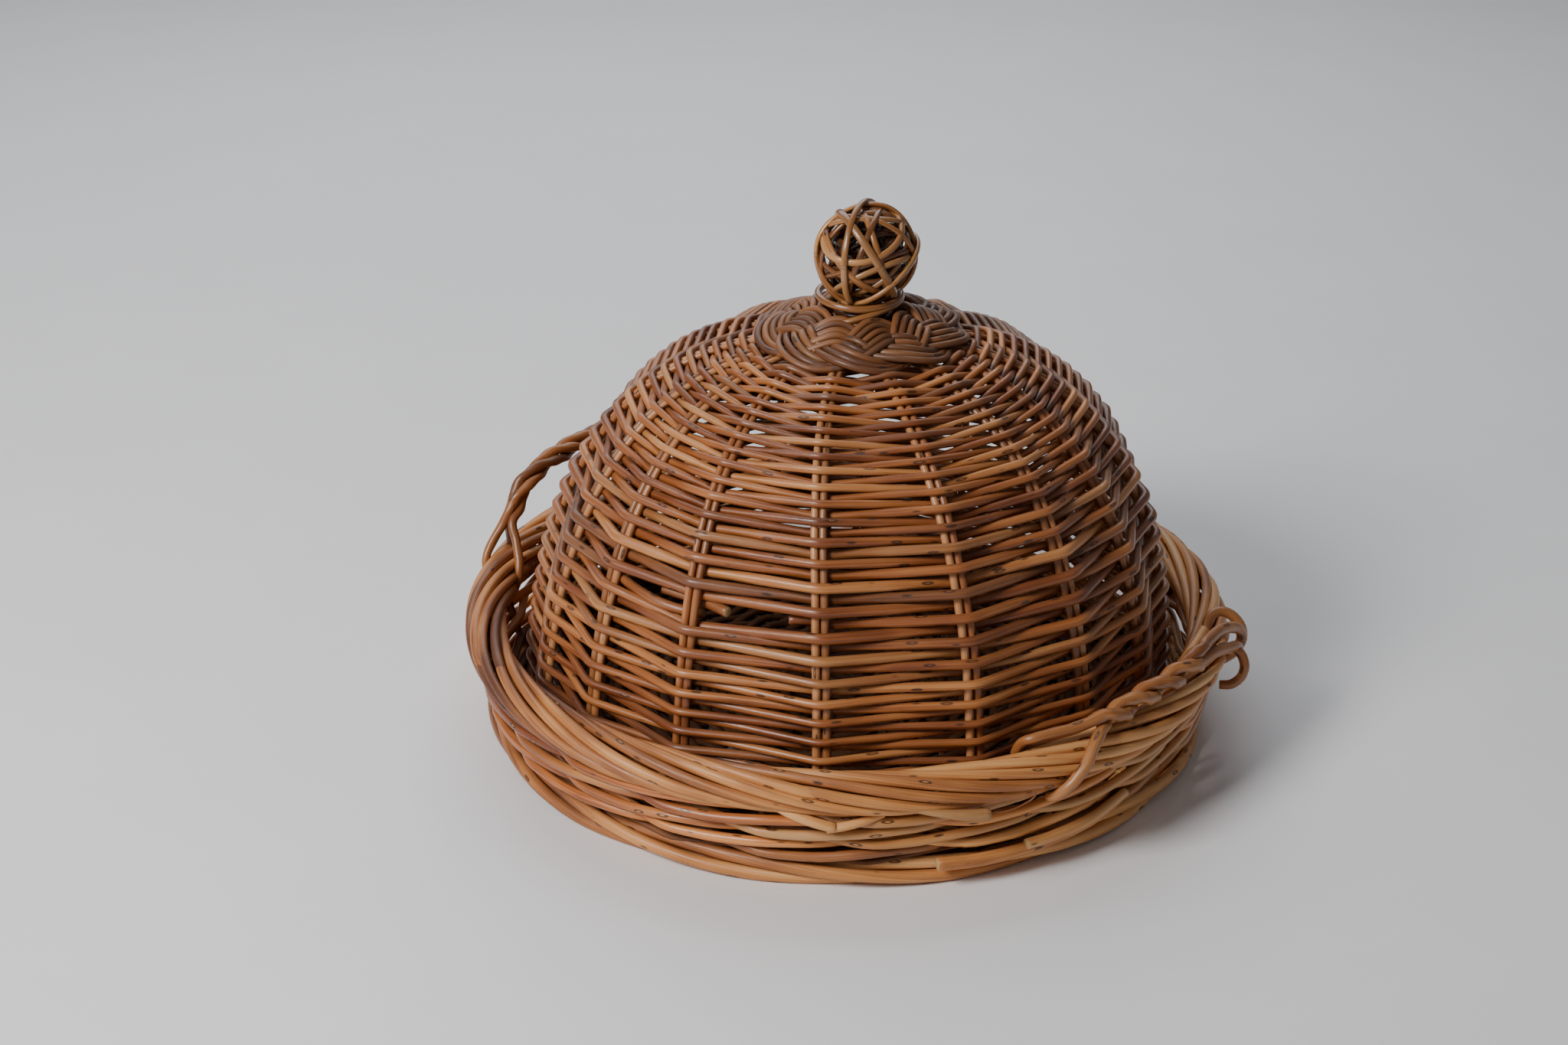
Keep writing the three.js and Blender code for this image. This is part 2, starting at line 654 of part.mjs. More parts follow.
function standingLine(share) {
  const step = 0.5 / ROPE_STEPS;
  const before = standingPoint(Math.max(share - step, 0));
  const after = standingPoint(Math.min(share + step, 1));
  const ahead = after.sub(before).normalize();
  return { centre: standingPoint(share), ahead, side: new THREE.Vector3(1, 0, 0) };
}

function addHandles() {
  for (let strand = 0; strand < LYING_STRANDS; strand++) {
    const rope = twistedStrand(lyingLine, LYING_ROD, LYING_STRANDS, LYING_TWISTS, strand);
    add(`lying_handle_strand_${strand + 1}`, rope, willow.handle);
  }
  for (let strand = 0; strand < STANDING_STRANDS; strand++) {
    const rope = twistedStrand(standingLine, STANDING_ROD, STANDING_STRANDS, STANDING_TWISTS, strand);
    add(`standing_handle_strand_${strand + 1}`, rope, willow.handle);
  }
}

// A rod tied round the border just past each end of a handle
function tie(angle) {
  const halfStep = TIE_WRAP / TIE_STEPS / 2;
  const round = (BORDER_THICKNESS / 2 + CLEARANCE) / Math.cos(halfStep) + TIE_ROD / 2;
  const rings = [];
  for (let i = 0; i <= TIE_STEPS; i++) {
    const turn = Math.PI / 2 + TIE_WRAP * (i / TIE_STEPS - 0.5);
    const out = outwards(angle).multiplyScalar(Math.cos(turn)).addScaledVector(UP, Math.sin(turn));
    const centre = polar(angle, borderRadius, borderMiddle).addScaledVector(out, round);
    rings.push(section(centre, out, roundwards(angle), TIE_ROD / 2));
  }
  return skin(rings);
}

function addTies() {
  const room = (rod, strands) => (ropeRadius(rod, strands) + TIE_ROD / 2 + CLEARANCE) / borderRadius;
  const lying = LYING_HALF_ANGLE + room(LYING_ROD, LYING_STRANDS);
  const standing = STANDING_HALF_ANGLE + room(STANDING_ROD, STANDING_STRANDS);
  [-lying, lying, Math.PI - standing, Math.PI + standing].forEach((angle, i) => {
    add(`handle_tie_${i + 1}`, tie(angle), willow.handle);
  });
}

addStakes();
addRim();
addWeavers();
addPlait();
addCross();
addBinding();
addBall();
addFloor();
addFoot();
addWall();
addBorder();
addHandles();
addTies();

export default basket;
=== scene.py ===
# A wicker cloche basket in varnished willow, laid rod by rod over its frame of solids.
# Sizes are in millimetres, and become metres where a mesh or the camera is made. The stage is in metres.
import math
import random

import bpy
import numpy as np
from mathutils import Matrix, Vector


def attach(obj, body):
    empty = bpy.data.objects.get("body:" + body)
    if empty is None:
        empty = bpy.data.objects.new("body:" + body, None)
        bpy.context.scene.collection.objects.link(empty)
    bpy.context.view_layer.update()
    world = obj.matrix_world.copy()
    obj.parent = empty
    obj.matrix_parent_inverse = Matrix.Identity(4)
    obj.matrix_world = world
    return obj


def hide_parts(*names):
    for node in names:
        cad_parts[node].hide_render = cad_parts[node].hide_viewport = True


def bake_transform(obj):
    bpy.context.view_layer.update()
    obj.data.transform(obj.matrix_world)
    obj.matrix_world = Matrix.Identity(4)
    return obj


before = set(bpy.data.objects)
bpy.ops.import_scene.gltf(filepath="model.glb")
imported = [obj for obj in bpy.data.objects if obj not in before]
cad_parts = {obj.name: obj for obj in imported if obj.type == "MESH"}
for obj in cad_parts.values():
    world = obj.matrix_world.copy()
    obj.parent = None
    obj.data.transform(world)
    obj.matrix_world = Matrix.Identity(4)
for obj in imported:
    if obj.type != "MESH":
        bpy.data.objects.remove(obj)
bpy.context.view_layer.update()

MM = 0.001
TURN = 2 * math.pi
QUARTER = TURN / 4
UP = np.array([0.0, 0.0, 1.0])
rad = math.radians

# Camera
CAMERA_AZIMUTH = rad(35.5)
CAMERA_ELEVATION = rad(25.3)
CAMERA_DISTANCE = 1353
CAMERA_TARGET = (-26.5, -18.9, 102.2)
CAMERA_LENS = 59.77
SENSOR_WIDTH = 36
CLIP_START = 10

# Natural rods
SWAY_LENGTHS = (45, 160)  # of a rod's small bends
GIRTH_LENGTHS = (25, 90)  # of its thicker and thinner stretches
GIRTH_CHANGE = 0.05
WAVES_ADDED = 3
SHARE_EASED = 0.45  # of the way to the next corner, at most
SIDES = 10  # of a rod's section
FEW_SIDES = 8
MANY_SIDES = 12
STRAND_GAP = 0.1  # between the strands of a rope
RING_WAVES = (2, 5)  # in which a ring's strands drift
GIRTH_WAVES = (3, 7)
GRAIN_PLACES = 9000  # length of the grain that the rods are cut from
CUT_FACE = 0.88  # of a rod's radius, inside the bevel of its cut end
BEVEL_DEPTH = 0.1
CUT_DEPTH = 0.12
CUT_ROOM = 3  # of a cut end on the texture, in radii
CUT_ROW = 1.2  # height of its middle there
CUT_DISC = 0.8  # size of its face there

# Dome
LID_RADIUS = 165  # stake line at the foot
LID_HEIGHT = 207  # stake line at the crown
LID_SIDE_POWER = 2.8
LID_RISE_POWER = 2.35
LID_LEAN = 6.5
LID_LEAN_TOWARDS = rad(35.5)
STAKE_PAIRS = 16
STAKE_START = rad(8.2)
STAKE_DRIFT = rad(3.5)
STAKE_DRIFT_WAVES = 3
STAKE_DRIFT_START = rad(190)
CROWN_TWIST = rad(-7)
CROWN_DRIFT = rad(6)
CROWN_DRIFT_WAVES = 2
CROWN_DRIFT_START = rad(75)
STAKE_FOOT = 4.5  # rod diameter
STAKE_TIP = 3.3
STAKE_GAP = 0.5  # between the two rods of a pair
STAKE_FOOT_HEIGHT = 15.5
STAKE_END_RADIUS = 32
STAKE_SWAY = 0.25
RIM_MIDDLE = 15.7
RIM_THICKNESS = 6.8
RIM_STRANDS = 3
RIM_WINDS = 40
FIRST_ROW = 22.8  # height of the lowest row of weave
LAST_ROW_RADIUS = 53
ROW_PITCHES = [5.8, 4.4, 5, 5.9, 4.5, 3.6, 3.4, 3.6]
ROD_OF_PITCH = (0.88, 1.12)  # a weaver's thickness at its butt, at the foot and at the crown
STAND_OFF = (1.02, 0.82)  # how far it stands off its stakes, there too
WEAVER_TAPER = 0.12  # how much thinner it is at its tip
WEAVER_LENGTHS = 7
RODS_IN_LENGTH = 4
WEAVER_HOLD = 0.55  # half of its straight stretch on a stake, in stake rods
WEAVER_TAIL = 0.3  # that of its end, past the middle of the stakes
WEAVER_BEND = 4.2
WEAVER_STEP = 11
WEAVER_SWAY = 0.22
ROW_SCATTER = 0.035  # of a row's pitch
BROKEN_HELIX = 0
BROKEN_SPAN = (155, 157)  # a rod is broken off between these places, counted in stake pairs
# Rod ends, here and below: angle in degrees, distance from the axis, height, rod diameter
BROKEN_ENDS = (
    [(-96, 141.5, 117, 4.9), (-88, 140.4, 116.8, 5), (-84, 141.8, 117, 5.2), (-80.2, 145, 117.2, 5.2)],
    [(-111, 143, 114.6, 4.4), (-104, 146, 114.2, 4.8), (-96, 147.2, 113, 5), (-90, 145, 111.8, 4.8),
     (-86, 141.5, 111.2, 4.4)],
    [(-60.5, 142.6, 118.2, 4.8), (-64.5, 142.8, 118.1, 4.8), (-68, 143.8, 117.8, 4.6)],
)
SAGGING = (1, 140)  # helix and place where the rod under the break hangs lower
SAG = 4.5

# Plaited ring round the crown
PLAIT_RADIUS = 37
PLAIT_SWING = 8.5
PLAIT_HEIGHT = 214  # middle of the plait
PLAIT_SLOPE = 0.42
PLAIT_LIFT = 2.4
PLAIT_WAVES = 3
PLAIT_BANDS = 3
PLAIT_RODS = 5
PLAIT_ROD = 4
PLAIT_LOBE = rad(125)  # half of a lobe's length, as an angle of its wave
PLAIT_FIRST_LOBE = rad(45)
PLAIT_TUCK = 1.6  # how far a lobe's ends go down
PLAIT_PITCH = 0.98  # from rod to rod, in rods
PLAIT_NARROW = 0.5  # of its width, at a lobe's ends
PLAIT_LIFTS = (-0.25, 0.35)
PLAIT_SIZES = (0.88, 1.05)
PLAIT_SWAY = 0.2
PLAIT_POINTS = 26  # along a rod

# Knob
BALL_RADIUS = 28
BALL_HEIGHT = 249.5
BALL_ROD = 3.7
BALL_ROD_FLATNESS = 0.66
# Hoops that show most. Axis as seen from the camera (right, up, towards it), place along it, and depth
BALL_FRONT_HOOPS = (
    (0.92, -0.12, 0.38, -1, 0),
    (0.82, 0.57, 0, 0, 1.3),
    (0.58, -0.64, -0.51, 10.5, 0),
    (0.1, -0.25, 0.95, 2, 1.3),
    (-0.03, 0.99, -0.12, 13, 2.5),
    (-0.16, 0.63, 0.75, 13.5, 2.5),
    (-0.38, 0.92, -0.03, -11.5, 2.5),
)
# Painted shade: the front hoops are lightest, and the deeper hoops are given darker tones
BALL_FRONT_TONES = (0.75, 1)
BALL_HOOPS = 11  # under those
BALL_HOOP_RADII = (21.5, 24)
BALL_HOOP_SHADE_TONES = (0.2, 0.6)
BALL_INNER_HOOPS = 14
BALL_INNER_RADII = (11, 20)
BALL_INNER_SHADE_TONES = (-0.5, 0)
HOOP_SHIFTS = (-5, 5)
HOOP_SCATTER = 0.12  # of its axis
HOOP_SIZES = (0.85, 1.1)
HOOP_UNEVENNESS = 0.5
HOOP_WAVES = (2, 4)
BINDING_ROD = 3.6
BINDING_TURNS = (0, 0.5, 0.75, 1, 1.4, 1.5, 1.63)  # from behind the ball to its right, front and left
BINDING_HEIGHTS = (229.5, 227.8, 229, 228.5, 226.5, 223.5, 218)
BINDING_RADII = (20.3, 20.6, 20.8, 20.5, 20.8, 21.5, 24)
BINDING_START = rad(125.5)
BINDING_SHIFT = -2  # to the right, as seen from the camera
NECK_RADIUS = 13.5
NECK_FIRST = 207
NECK_TURNS = 4
NECK_PITCH = 1.05  # in rods
NECK_SWAY = 0.3
CROSS_ROD = 4
CROSS_RADIUS = 41.5
CROSS_HEIGHT = 201.4
CROSS_STEP = 8
CROSS_SWAY = 0.2

# Tray
FLOOR_MIDDLE = 7.7
FLOOR_STICK = 3
FLOOR_WEAVER = 5
FLOOR_PITCH = 4.6
FLOOR_FLATNESS = 0.6
FLOOR_EDGE = 181
FLOOR_BEND = 170  # where the sticks begin to turn up
FLOOR_RISE = 0.55
FLOOR_INNER = 33
FLOOR_SWAY = 0.2
FLOOR_ROD_TURNS = 3
STICK_PITCH = 1.05  # in sticks, where they cross
STICK_INTO_BORDER = 8
SLATH_ROWS = 4  # round the arms of the cross
SLATH_FIRST = 15
SLATH_REACH = 26
WALL_STAKES = 24
WALL_STAKE_ROD = 4.5
WALL_FOOT_RADIUS = 183.2
WALL_FOOT_HEIGHT = 16
WALL_TOP = 43
WALL_ROWS = 6
WALL_ROD = 5.2
WALL_WALE = 3  # a rod goes behind every third stake
WALL_SLANTS = (0, -0.35, 0.35)  # its lift at that stake and the next two, in row pitches
WALL_BETWEEN = (-0.4, 0.85, 0.4)  # stand-off half way to the next stake
WALL_ROD_STAKES = 9
WALL_JOIN_STEP = 5  # from row to row, in stakes
WALL_SCATTER = 0.06
WALL_SIZES = (0.88, 1.04)
WALL_SWAY = 0.3
FOOT_MIDDLE = 6.4
FOOT_THICKNESS = 14
FOOT_STRANDS = 3
FOOT_WINDS = 4
FOOT_DRIFT = 0.08
FOOT_TONES = (0.5, 1)
BORDER_RADIUS = 189.2
BORDER_MIDDLE = 53
BORDER_THICKNESS = 22
BORDER_STRANDS = 9
BORDER_WINDS = 4
BORDER_TUCK = rad(9)
BORDER_TUCK_DEPTH = 4
BORDER_OVERLAP = 0.6  # of the tuck
BORDER_TIP = 0.55  # of a rod's thickness, at its tucked end
BORDER_SLIM = 0.96
BORDER_DRIFT = 0.06
BORDER_UNEVENNESS = 0.25
BORDER_WAVES = 7
BORDER_TONES = (0.2, 1)
# Painted shade: the rods of the border, foot and wall get lower tones towards one side of the tray
BORDER_PAINTED_SHADE = 0.8
FOOT_PAINTED_SHADE = 0.9
WALL_PAINTED_SHADE = 1
PAINTED_SHADE_SIDE = rad(247)  # where the tray's rods are painted darker, as painted shade on that side
PAINTED_SHADE_NARROWNESS = 7

# Ends of rods that show under the border, on the foot and in the wall
BORDER_CUTS = (
    [(-47.5, 196.5, 48.5, 2.4), (-43, 199.2, 46, 4), (-39.5, 200.2, 44, 5.6), (-36.3, 200, 42.4, 6)],
    [(-66, 192.5, 47.5, 4.4), (-63, 195.6, 44.6, 4.9), (-60, 197, 41.8, 5.1), (-57.2, 197, 39.2, 5.1)],
    [(-50.5, 192, 43.6, 4), (-53.5, 195.4, 41.6, 4.4), (-56, 196.2, 39.6, 4.6), (-58.2, 195.8, 37.8, 4.6)],
)
SLIVER = [(-29.6, 199, 49.5, 0.9), (-29.3, 198.6, 46, 0.9), (-30.4, 197.4, 42.6, 0.9),
          (-33, 197, 40.4, 0.9), (-36, 196.6, 40.8, 0.7)]
FOOT_CUT = [(-42.6, 191.8, 13.4, 6.6), (-36, 192.4, 13.2, 6.6), (-28, 192, 13.8, 6.2), (-18, 190.4, 15, 5.4),
            (-9, 186.5, 16.5, 4.2)]
WALL_CUT = [(-29.6, 194.6, 17.6, 5.4), (-25, 194.6, 18.2, 5.4), (-18, 193.6, 19.6, 5.2),
            (-10, 190, 21.5, 4.6)]

# Handles
ROPE_POINTS = 19
ROPE_SIDES = 14
PLIES = 2  # of which each strand looks made
PLY_DEPTH = 0.03  # in its smooth ends
PLY_DEEPER = 0.09  # along the rope
PLY_FADE = 12
LYING_FROM = rad(-16.5)  # where the twist begins and ends
LYING_TO = rad(9)
LYING_HEIGHT = 70.3
LYING_ROD = 6.2
LYING_TWISTS = 2
LYING_SHARES = (0, 0.35, 1)
LYING_DISTANCES = (192.5, BORDER_RADIUS, 194)
LYING_PLY_PITCH = 22
LYING_TONES = (0.4, 0.9)
LYING_SEAMS = (0.75, 0.5)  # where each strand is hidden under the other
LYING_NEAR_ENDS = (
    [(-28.5, 176, 51, 4.6), (-28.8, 176.9, 58, 4.8), (-28.4, 180.8, 65, 4.9), (-27.4, 184.6, 68, 5),
     (-25, 186.3, 69.2, 5.2), (-22, 188.5, 69.8, 5.5), (-19.5, 190.5, 71, 5.8)],
    [(-26.6, 195.5, 41, 4.6), (-25.8, 199.6, 43.8, 5.2), (-24.2, 202.6, 50, 5.6), (-22, 202.6, 57.5, 5.8),
     (-20, 199.2, 63.8, 6), (-18.2, 196, 66.6, 6.1)],
)
LYING_FAR_ENDS = (
    [(11.5, 194, 73.4, 6.2), (14.5, 195, 72.4, 6.2), (17.5, 197, 71, 6.2), (20.5, 201, 68, 6),
     (22.5, 205, 63.5, 5.8), (22.8, 206.5, 58, 5.6), (22, 203.5, 51.5, 5.2), (21, 196.5, 47, 4.8)],
    [(11.5, 196.5, 67.4, 6.1), (14, 199, 66, 6), (16.5, 202, 63.5, 5.8), (19, 205, 60.5, 5.6),
     (20.5, 205, 55.5, 5.2), (20.5, 197.5, 49, 4.8)],
)
LYING_LOOP = [(16.5, 197, 63, 4.2), (18, 202.5, 61.5, 4.6), (18.4, 207.5, 58, 5), (18, 210.3, 52, 5),
              (17.6, 209, 45.8, 5), (17.2, 204.5, 41.8, 5), (17, 199, 41, 4.6)]
LYING_WRAP = [(22, 188, 59, 4.8), (23.6, 188.6, 65, 5.2), (24.8, 192, 68, 5.4), (25.2, 196.5, 68.2, 5.4),
              (25, 201.5, 66, 5.4), (24.6, 205.8, 61, 5.2), (24.2, 206.5, 55, 5), (24, 202.5, 49, 4.6),
              (24, 196.5, 46, 4.2)]
STANDING_HALF_ANGLE = rad(18.5)
STANDING_RISE = 36
STANDING_FOOT = 66.6
STANDING_SQUARENESS = 2.7
STANDING_ROD = 5.3
STANDING_STRANDS = 3
STANDING_TWISTS = 2
STANDING_SPLAY = 84  # below this height the strands spread out
STANDING_PLY_PITCH = 26
STANDING_SWAY = 0.4
STANDING_ENDS = (
    [(203.8, 194.5, 50, 4), (203.4, 198.2, 56, 4.6), (202.4, 198.6, 62.5, 4.8), (200.8, 195.6, 70.5, 4.9),
     (199.5, 191.8, 78, 5.1)],
    [(205.2, 179.5, 49, 4), (204.8, 178.2, 55, 4.8), (203.4, 179.2, 62, 5), (201.4, 182.6, 70, 5),
     (199.8, 186.5, 78, 5.1)],
    [(198.2, 189.5, 55, 4), (198.2, 190, 62, 4.6), (198.3, 190.3, 70, 5), (198.4, 190, 78, 5.1)],
)


# Lines: rows of a point, the direction that faces out there, and the rod's radius
def unit(vectors):
    return vectors / np.linalg.norm(vectors, axis=-1, keepdims=True)


def outwards(angle):
    return np.stack([np.cos(angle), np.sin(angle), np.zeros_like(angle)], -1)


def polar(angle, radius, height):
    flat = outwards(np.asarray(angle, float)) * np.asarray(radius, float)[..., None]
    return flat + np.asarray(height, float)[..., None] * UP


def line_of(points, facing, radius):
    points = np.asarray(points, float)
    facing = np.broadcast_to(facing, points.shape)
    radius = np.broadcast_to(radius, len(points))
    return np.column_stack([points, facing, radius])


def station(point, facing, radius):
    """One row of a line."""
    return np.concatenate([point, facing, [radius]])


def places_along(points):
    """How far along the line each point lies."""
    steps = np.linalg.norm(np.diff(points, axis=0), axis=1)
    return np.concatenate([[0], np.cumsum(steps)])


def eased(line, reach, steps=4):
    """The line with each corner turned into a short curve."""
    made = [line[0]]
    for before, corner, after in zip(line, line[1:], line[2:]):
        ends = []
        for other in (before, after):
            length = np.linalg.norm(other[:3] - corner[:3])
            ends.append(corner + (other - corner) * min(reach / length, SHARE_EASED))
        for share in np.linspace(0, 1, steps + 1):
            first = ends[0] + (corner - ends[0]) * share
            second = corner + (ends[1] - corner) * share
            made.append(first + (second - first) * share)
    made.append(line[-1])
    return np.array(made)


def filled(line, longest):
    """The line with points added where two neighbours lie far apart."""
    made = [line[:1]]
    for here, there in zip(line, line[1:]):
        length = np.linalg.norm(there[:3] - here[:3])
        shares = np.linspace(0, 1, math.ceil(length / longest) + 1)[1:]
        made.append(here + (there - here) * shares[:, None])
    return np.vstack(made)


def waves(places, rng, shortest, longest):
    """A smooth uneven curve between about -1 and 1."""
    total = np.zeros_like(places)
    for _ in range(WAVES_ADDED):
        length = rng.uniform(shortest, longest)
        total += np.sin(TURN * (places / length + rng.random()))
    return total / WAVES_ADDED


def swayed(line, amount, rng):
    """The line with a natural rod's small bends and uneven thickness."""
    places = places_along(line[:, :3])
    ahead = unit(np.gradient(line[:, :3], axis=0))
    side = np.cross(ahead, line[:, 3:6])
    made = line.copy()
    for across in (side, line[:, 3:6]):
        made[:, :3] += across * (amount * waves(places, rng, *SWAY_LENGTHS))[:, None]
    made[:, 6] *= 1 + GIRTH_CHANGE * waves(places, rng, *GIRTH_LENGTHS)
    return made


def transported(points):
    """A direction across the line at each point, with no twist along it."""
    ahead = unit(np.gradient(points, axis=0))
    any_direction = np.array([0.31, 0.52, 0.79])
    facing = [unit(np.cross(ahead[0], any_direction))]
    for direction in ahead[1:]:
        facing.append(unit(facing[-1] - direction * (facing[-1] @ direction)))
    return np.array(facing)


def flowing(stations, step=2.5):
    """A smooth line (a Catmull-Rom spline) through stations of a point and a radius."""
    ends = np.vstack([2 * stations[0] - stations[1], stations, 2 * stations[-1] - stations[-2]])
    made = []
    for a, b, c, d in zip(ends, ends[1:], ends[2:], ends[3:]):
        count = math.ceil(np.linalg.norm(c[:3] - b[:3]) / step)
        share = np.arange(count)[:, None] / count
        slope = c - a
        bend = 2 * a - 5 * b + 4 * c - d
        swing = 3 * (b - c) + d - a
        made.append(b + (slope * share + bend * share ** 2 + swing * share ** 3) / 2)
    made = np.vstack(made + [stations[-1:]])
    return line_of(made[:, :3], transported(made[:, :3]), made[:, 3])


def rod_end(stations):
    """Stations of a point and a radius, from angles in degrees, distances, heights and diameters."""
    degrees, distance, height, rod = np.array(stations, float).T
    return np.column_stack([polar(np.radians(degrees), distance, height), rod / 2])


class Profile:
    """A line in the plane of radius and height, measured along its own length."""

    def __init__(self, points):
        points = np.array(points, float)
        self.places = places_along(points)
        self.length = self.places[-1]
        ups = unit(np.gradient(points, self.places, axis=0))
        self.columns = np.hstack([points, ups]).T

    def at(self, place):
        return [float(np.interp(place, self.places, column)) for column in self.columns]

    def station(self, place, angle, offset, radius):
        """One row of a line, at an angle round the axis and off the profile."""
        reach, height, up_out, up = self.at(place)
        out = outwards(angle) * up - UP * up_out
        point = outwards(angle) * reach + UP * height + out * offset
        return station(point, out, radius)


# Meshes
def added(name, data):
    """A new object in the scene."""
    made = bpy.data.objects.new(name, data)
    bpy.context.scene.collection.objects.link(made)
    return made


def numbered(name, count):
    """Names of nodes that are alike."""
    return [f"{name}_{number}" for number in range(1, count + 1)]


class Bundle:
    """Rods gathered into one mesh, with each rod's own tone and grain."""

    def __init__(self, seed):
        self.random = random.Random(seed)
        self.ages = random.Random(-seed)
        self.rods = []

    def rod(self, line, closed=False, tone=None, age=None, flat=1, lobes=None, sides=SIDES):
        """Adds a rod along a line. Its lobes are a count, their depth and the pitch of their twist."""
        points, facing, radius = line[:, :3], line[:, 3:6], line[:, 6]
        along = places_along(np.vstack([points, points[:1]]) if closed else points)
        if closed:
            ahead = unit(np.roll(points, -1, 0) - np.roll(points, 1, 0))
        else:
            ahead = unit(np.gradient(points, axis=0))
        side = unit(np.cross(ahead, facing))
        out = np.cross(side, ahead)
        turns = TURN * np.arange(sides) / sides
        reach = np.repeat(radius[:, None], sides, 1)
        if lobes:
            count, depth, pitch = lobes
            depth = np.broadcast_to(depth, len(points))[:, None]
            twist = TURN * along[:len(points), None] / pitch
            reach = reach * (1 + depth * np.cos(count * (turns - twist)))
        across = reach * np.sin(turns)
        lift = reach * np.cos(turns) * flat
        rings = points[:, None] + across[..., None] * side[:, None] + lift[..., None] * out[:, None]
        offset = self.random.uniform(0, GRAIN_PLACES)
        places = np.repeat(along[:len(points), None] + offset, sides, 1)
        tone = self.random.random() if tone is None else tone
        age = self.ages.random() if age is None else age
        made = {
            "points": rings.reshape(-1, 3),
            "grain": np.stack([places, lift, across], -1).reshape(-1, 3),
            "tone": np.repeat(np.broadcast_to(tone, len(points)), sides),
            "age": np.full(len(points) * sides, age),
            "cut": np.zeros(len(points) * sides),
        }
        girth = TURN * radius.max()
        self.wrap(made, along, girth, len(points), sides, closed)
        made["length"] = along[-1]
        made["girth"] = girth
        if not closed:
            for ring, way in ((0, -1), (len(points) - 1, 1)):
                self.cap(made, rings[ring], points[ring], ahead[ring] * way, sides, ring * sides, way)
        self.rods.append(made)

    def wrap(self, made, along, girth, count, sides, closed):
        """The skin of a rod, with its texture places laid out flat."""
        ring = np.arange(count if closed else count - 1)[:, None]
        side = np.arange(sides)[None]
        here, there = ring * sides, (ring + 1) % count * sides
        after = (side + 1) % sides
        quads = np.stack([here + side, here + after, there + after, there + side], -1)
        low = np.broadcast_to(girth * side / sides, quads.shape[:2])
        high = np.broadcast_to(girth * (side + 1) / sides, quads.shape[:2])
        start = np.broadcast_to(along[ring], quads.shape[:2])
        end = np.broadcast_to(along[ring + 1], quads.shape[:2])
        corners = [(start, low), (start, high), (end, high), (end, low)]
        made["quads"] = quads.reshape(-1, 4)
        made["quad_uv"] = np.stack([np.stack(c, -1) for c in corners], 2).reshape(-1, 4, 2)
        made["fans"] = np.zeros((0, 3), int)
        made["fan_uv"] = np.zeros((0, 3, 2))

    def cap(self, made, ring, centre, away, sides, first, way):
        """A cut end, with a small bevel round it."""
        radius = np.linalg.norm(ring - centre, axis=1).mean()
        bevel = centre + (ring - centre) * CUT_FACE + away * radius * BEVEL_DEPTH
        start = len(made["points"])
        made["points"] = np.vstack([made["points"], bevel, centre + away * radius * CUT_DEPTH])
        grain = made["grain"][first:first + sides]
        face_grain = grain * [1, CUT_FACE, CUT_FACE]
        made["grain"] = np.vstack([made["grain"], face_grain, grain[:1] * [1, 0, 0]])
        for key, value in (("tone", made["tone"][first]), ("age", made["age"][first]), ("cut", 1.0)):
            made[key] = np.concatenate([made[key], np.full(sides + 1, value)])
        here = np.arange(sides)
        after = (here + 1) % sides
        edge = np.stack([first + here, first + after, start + after, start + here], -1)
        fan = np.stack([np.full(sides, start + sides), start + here, start + after], -1)
        turns = TURN * np.arange(sides + 1) / sides
        disc = radius * np.stack([np.cos(turns), np.sin(turns)], -1)
        room = CUT_ROOM * radius
        middle = np.array([made["length"] + room / 2, CUT_ROW * radius])
        inner = middle + disc * CUT_DISC
        outer = middle + disc
        edge_uv = np.stack([outer[:-1], outer[1:], inner[1:], inner[:-1]], 1)
        fan_uv = np.stack([np.broadcast_to(middle, (sides, 2)), inner[:-1], inner[1:]], 1)
        if way < 0:
            edge, fan = edge[:, ::-1], fan[:, ::-1]
            edge_uv, fan_uv = edge_uv[:, ::-1], fan_uv[:, ::-1]
        made["quads"] = np.vstack([made["quads"], edge])
        made["quad_uv"] = np.vstack([made["quad_uv"], edge_uv])
        made["fans"] = np.vstack([made["fans"], fan])
        made["fan_uv"] = np.vstack([made["fan_uv"], fan_uv])
        made["length"] += room

    def laid_out(self):
        """Texture places: the rods laid side by side in rows, as words are in lines of text."""
        gap = 1
        margin = 1.002
        height = max(rod["girth"] for rod in self.rods) + gap
        width = math.sqrt(sum(rod["length"] for rod in self.rods) * height)
        quads, fans = [], []
        cursor = 0
        for rod in self.rods:
            for key, places in (("quad_uv", quads), ("fan_uv", fans)):
                uv = rod[key].copy()
                uv[..., 0] += cursor
                row = np.floor(uv[..., 0].min(axis=1) / width)[:, None]
                uv[..., 0] -= row * width
                uv[..., 1] += row * height
                places.append(uv.reshape(-1, 2))
            cursor += rod["length"] + gap
        uv = np.vstack(quads + fans)
        return uv / (uv.max() * margin)

    def piece(self, name, body, slot, *nodes, look=None):
        """The rods as one mesh, in place of these nodes of the frame. The lid's rods lean with it."""
        starts = np.cumsum([0] + [len(rod["points"]) for rod in self.rods])
        values = ("tone", "age", "cut")
        gathered = {}
        for key in ("points", "grain") + values:
            gathered[key] = np.concatenate([rod[key] for rod in self.rods])
        points = gathered["points"]
        if body == "lid":
            slope = LID_LEAN / LID_HEIGHT
            points = points + outwards(LID_LEAN_TOWARDS) * slope * points[:, 2:]
        quads = np.vstack([rod["quads"] + start for rod, start in zip(self.rods, starts)])
        fans = np.vstack([rod["fans"] + start for rod, start in zip(self.rods, starts)])
        mesh = bpy.data.meshes.new(name)
        mesh.from_pydata((points * MM).tolist(), [], quads.tolist() + fans.tolist())
        grain = mesh.attributes.new("grain", "FLOAT_VECTOR", "POINT")
        grain.data.foreach_set("vector", gathered["grain"].ravel())
        for key in values:
            mesh.attributes.new(key, "FLOAT", "POINT").data.foreach_set("value", gathered[key])
        mesh.uv_layers.new(name="OFBake").data.foreach_set("uv", self.laid_out().ravel())
        mesh.shade_smooth()
        mesh.materials.append(materials[look or slot])
        made = added(name, mesh)
        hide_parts(*nodes)
        return made


